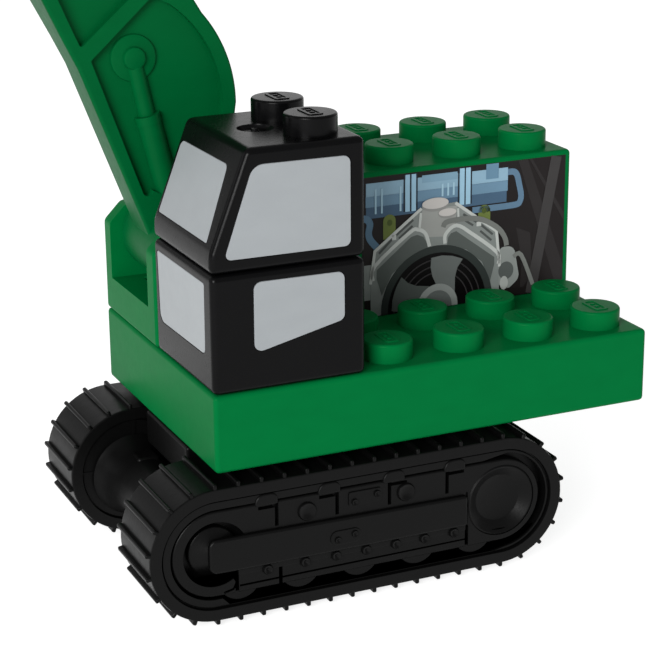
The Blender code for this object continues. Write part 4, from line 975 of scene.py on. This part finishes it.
def build_side_frame(side, word, span):
    """The slotted plate with hook tabs, crescent feet, a lower rail and its bolt heads."""
    face = FRAME_FACE
    parts = [frame_plate(side, span)]
    tab_z, tab_length = (TRACK_Z + 5.3, TRACK_Z + 6.85), 3.0
    for rear in (11.4, 3.1, -5.7, -14.2):
        front = rear + tab_length
        tab = rounded([(rear, tab_z[0], 0), (front, tab_z[0], 0), (front, tab_z[1], 1.2),
                       (rear, tab_z[1], 0.9)])
        parts.append(slab(tab, span(FRAME_IN + 0.6, face + 0.36), 0.25, 3, 50))
    foot_pitch, foot_r = 8.0, 2.75
    for i in range(-2, 3):
        foot = arc((foot_pitch * i + 0.4, 5.75), foot_r, 212, 328, 20)
        parts.append(slab(foot, span(18.5, 20.2), 0.22, 3, 60))
    ledge = block((-14.4, 16.7), (TRACK_Z - 3.2, TRACK_Z - 2.3))
    parts.append(slab(ledge, span(face - 0.4, face + 0.14), 0.12, 2))
    plate = rounded([(x, z, 0.3) for x, z in block((-2.5, 1.95), (TRACK_Z + 3.1, TRACK_Z + 4.95))], 4)
    parts.append(slab(plate, span(face - 0.2, face + 0.2), 0.12, 2))
    heads = [(DOME, (7.5, TRACK_Z + 3.5), 0), (DOME, (-5.95, TRACK_Z + 3.6), 0),
             (RIVET, (1.15, TRACK_Z + 3.6), 0.2), (RIVET, (-1.9, TRACK_Z + 4.2), 0.2)]
    heads += [(BOLT, (x, TRACK_Z - 3.12), 0.14) for x in (12.9, 7.9, 3.7, -0.4, -4.5, -8.5, -12.65)]
    parts += [head(profile, side, (x, side * (face + lift), z), 28) for profile, (x, z), lift in heads]
    hollow = [(0.0, 1.2), (0.9, 1.15), (1.15, 0.95), (3.0, 0.45), (3.15, 0.3), (3.2, -0.6), (0.0, -0.6)]
    parts.append(head(hollow, side, (FRONT_AXLE[0], side * 18.85, FRONT_AXLE[1]), 56))
    base_piece(parts, "side_frame_plate_" + word, "side_frame_" + word)


def build_beam(side, word, span):
    """The raised beam along the frame, with an oval plate and two rivets."""
    face = FRAME_FACE
    low, high = TRACK_Z - 2.45, TRACK_Z + 1.7
    beam = [(-14.5, low), (16.8, low), (17.3, low), (19.9, TRACK_Z - 2.4), (20.55, TRACK_Z - 1.8),
            (20.55, TRACK_Z + 1.5), (19.95, TRACK_Z + 2.1), (-14.5, high)]
    bar = slab(beam, span(face - 0.3, face + 0.62), 0.4, 4, 30)
    badge_r = 0.95
    badge = arc((3.75, 9.0), badge_r, -90, 90, 14) + arc((1.45, 9.0), badge_r, 90, 270, 14)
    parts = [bar, slab(badge, span(face + 0.4, face + 0.78), 0.12, 2)]
    parts += [head(RIVET, side, (x, side * (face + 0.76), z), 24) for x, z in ((3.7, 8.75), (1.4, 9.2))]
    base_piece(parts, "track_beam_bar_" + word, "track_beam_" + word)


def build_idler(side, word):
    dish = [(0.0, -1.0), (3.0, -1.0), (3.15, -0.93), (4.4, 0.0), (4.55, 0.03), (4.74, -0.1),
            (4.74, -1.4), (0.0, -1.4)]
    cap = head(dish, side, (REAR_AXLE[0], side * FRAME_FACE, REAR_AXLE[1]), 64)
    base_piece([cap], "idler_dish_" + word, "idler_cap_" + word)


def build_crawler_sides():
    for side, word in SIDES:
        def span(low, high):
            """Two distances from the toy's middle as levels on this side."""
            return sorted((side * low, side * high))

        build_track(side, word, span)
        build_side_frame(side, word, span)
        build_beam(side, word, span)
        build_idler(side, word)


def build_chassis():
    """The centre block and belly, and the two spool-shaped axle housings."""
    reach = TRACK_IN - 0.02
    top = DECK_Z[0] - 0.9
    body = round_edges(box((-16.5, 18.3), (-7.6, 7.6), (top - 4.6, top)), 0.5)
    belly = round_edges(box((-15.5, 15.5), (-reach, reach), (2.2, top - 3.0)), 0.6)
    parts = [body, belly]
    spool = mirrored([(0.0, reach), (5.6, reach), (5.1, reach - 0.6), (4.7, reach - 1.3),
                      (4.35, reach - 2.2), (4.1, reach - 3.4), (3.95, reach - 5.0), (3.9, 2.4)])
    for x in (-AXLE_SPAN, AXLE_SPAN):
        parts.append(turned(spool, (x, 0.0, TRACK_Z - 0.6), "Y", 64))
        arm = sorted((x, x * 0.7))
        parts.append(round_edges(box(arm, (-6.0, 6.0), (TRACK_Z - 3.0, TRACK_Z + 2.0)), 0.4))
    lug_half = 2.7
    for y in (-7.2, 7.2):
        lug = box((17.6, 20.6), (y - lug_half, y + lug_half), (TRACK_Z + 1.5, TRACK_Z + 3.6))
        parts.append(round_edges(lug, 0.4))
    parts.append(cylinders([(0, 0, top + 0.3)], "Z", 9.0, 0.9, 64))
    base_piece(parts, "chassis_block", "chassis")


def build_rolling_gear():
    """The hidden wheels, and the looks of the axles and the slew pin, which stay as the CAD's."""
    tread = mirrored([(0.0, 2.1), (1.7, 2.1), (2.0, 1.5), (3.3, 1.5), (3.6, 2.1), (4.2, 2.1),
                      (4.45, 1.9), (4.5, 1.5)])
    for side, word in SIDES:
        middle = side * (TRACK_IN + TRACK_OUT) / 2
        for x, place in ((ROLLER_X, "front"), (-ROLLER_X, "rear")):
            wheel = turned(tread, (x, middle, ROLLER_Z), "Y", 56)
            piece(wheel, f"roller_wheel_{place}_{word}", place + "_rollers", TRACK, "track_black",
                  f"roller_{place}_{word}")
    for name, material in (("axle_front", STEEL), ("axle_rear", STEEL), ("slew_pin", TRACK)):
        node = frame["nodes"][name]
        node.data.materials.clear()
        node.data.materials.append(material)


# ---------------- floor, light and camera
def build_floor():
    """A wide white floor, a hair below the toy, that glows a little so that it looks white."""
    bm = bmesh.new()
    half_width, drop = 4.0, 0.00002
    bmesh.ops.create_grid(bm, x_segments=2, y_segments=2, size=half_width)
    floor = new_object("floor", bm)
    floor.location.z = -drop
    material = bpy.data.materials.new("floor")
    material.use_nodes = True
    shader = material.node_tree.nodes["Principled BSDF"]
    shader.inputs["Base Color"].default_value = (0.45, 0.45, 0.45, 1.0)
    shader.inputs["Roughness"].default_value = 0.9
    shader.inputs["Specular IOR Level"].default_value = 0.1
    shader.inputs["Emission Color"].default_value = (1.0, 1.0, 1.0, 1.0)
    shader.inputs["Emission Strength"].default_value = 0.8
    floor.data.materials.append(material)


def area_light(name, place, size, power):
    """A light from a rectangle, aimed at the toy; places and sizes are in metres."""
    aim = Vector((0.0, 0.0, 0.03))
    data = bpy.data.lights.new(name, "AREA")
    data.shape = "RECTANGLE"
    data.size, data.size_y = size
    data.energy = power
    light = bpy.data.objects.new(name, data)
    light.location = place
    light.rotation_euler = (Vector(place) - aim).to_track_quat("Z", "Y").to_euler()
    bpy.context.scene.collection.objects.link(light)


def build_lights():
    world = bpy.data.worlds.new("studio")
    world.use_nodes = True
    world.node_tree.nodes["Background"].inputs["Color"].default_value = (1.0, 1.0, 1.0, 1.0)
    world.node_tree.nodes["Background"].inputs["Strength"].default_value = 0.42
    bpy.context.scene.world = world
    area_light("key", (0.62, 0.62, 0.34), (0.45, 0.35), 8.6)
    area_light("back", (-0.45, -0.95, 0.36), (1.3, 0.5), 1.15)
    area_light("front", (0.8, -0.3, 0.32), (0.5, 0.4), 0.8)


def build_camera():
    """Long lens, from ahead and to the left, a little above the toy."""
    azimuth, elevation, roll = math.radians(65.67), math.radians(18.29), math.radians(-0.49)
    distance, target = 263.46, Vector((-5.763, 0.0, 27.585))
    level = math.cos(elevation)
    back = Vector((level * math.cos(azimuth), level * math.sin(azimuth), math.sin(elevation)))
    right = (-back).cross(Vector((0, 0, 1))).normalized()
    up = right.cross(-back)
    side = right * math.cos(roll) + up * math.sin(roll)
    top = up * math.cos(roll) - right * math.sin(roll)
    turn = Matrix((side, top, back)).transposed().to_4x4()
    turn.translation = (ORIGIN + target + back * distance) * MM
    data = bpy.data.cameras.new("camera")
    data.lens, data.sensor_width = 107.65, 36.0
    data.clip_start, data.clip_end = 0.01, 20.0
    camera = bpy.data.objects.new("camera", data)
    camera.matrix_world = turn
    bpy.context.scene.collection.objects.link(camera)
    bpy.context.scene.camera = camera
    bpy.context.scene.view_settings.view_transform = "Standard"


build_deck()
build_engine_brick()
build_cab()
build_engine_picture()
build_bracket()
build_boom()
build_stick()
build_bucket()
build_crawler_sides()
build_chassis()
build_rolling_gear()
build_floor()
build_lights()
build_camera()
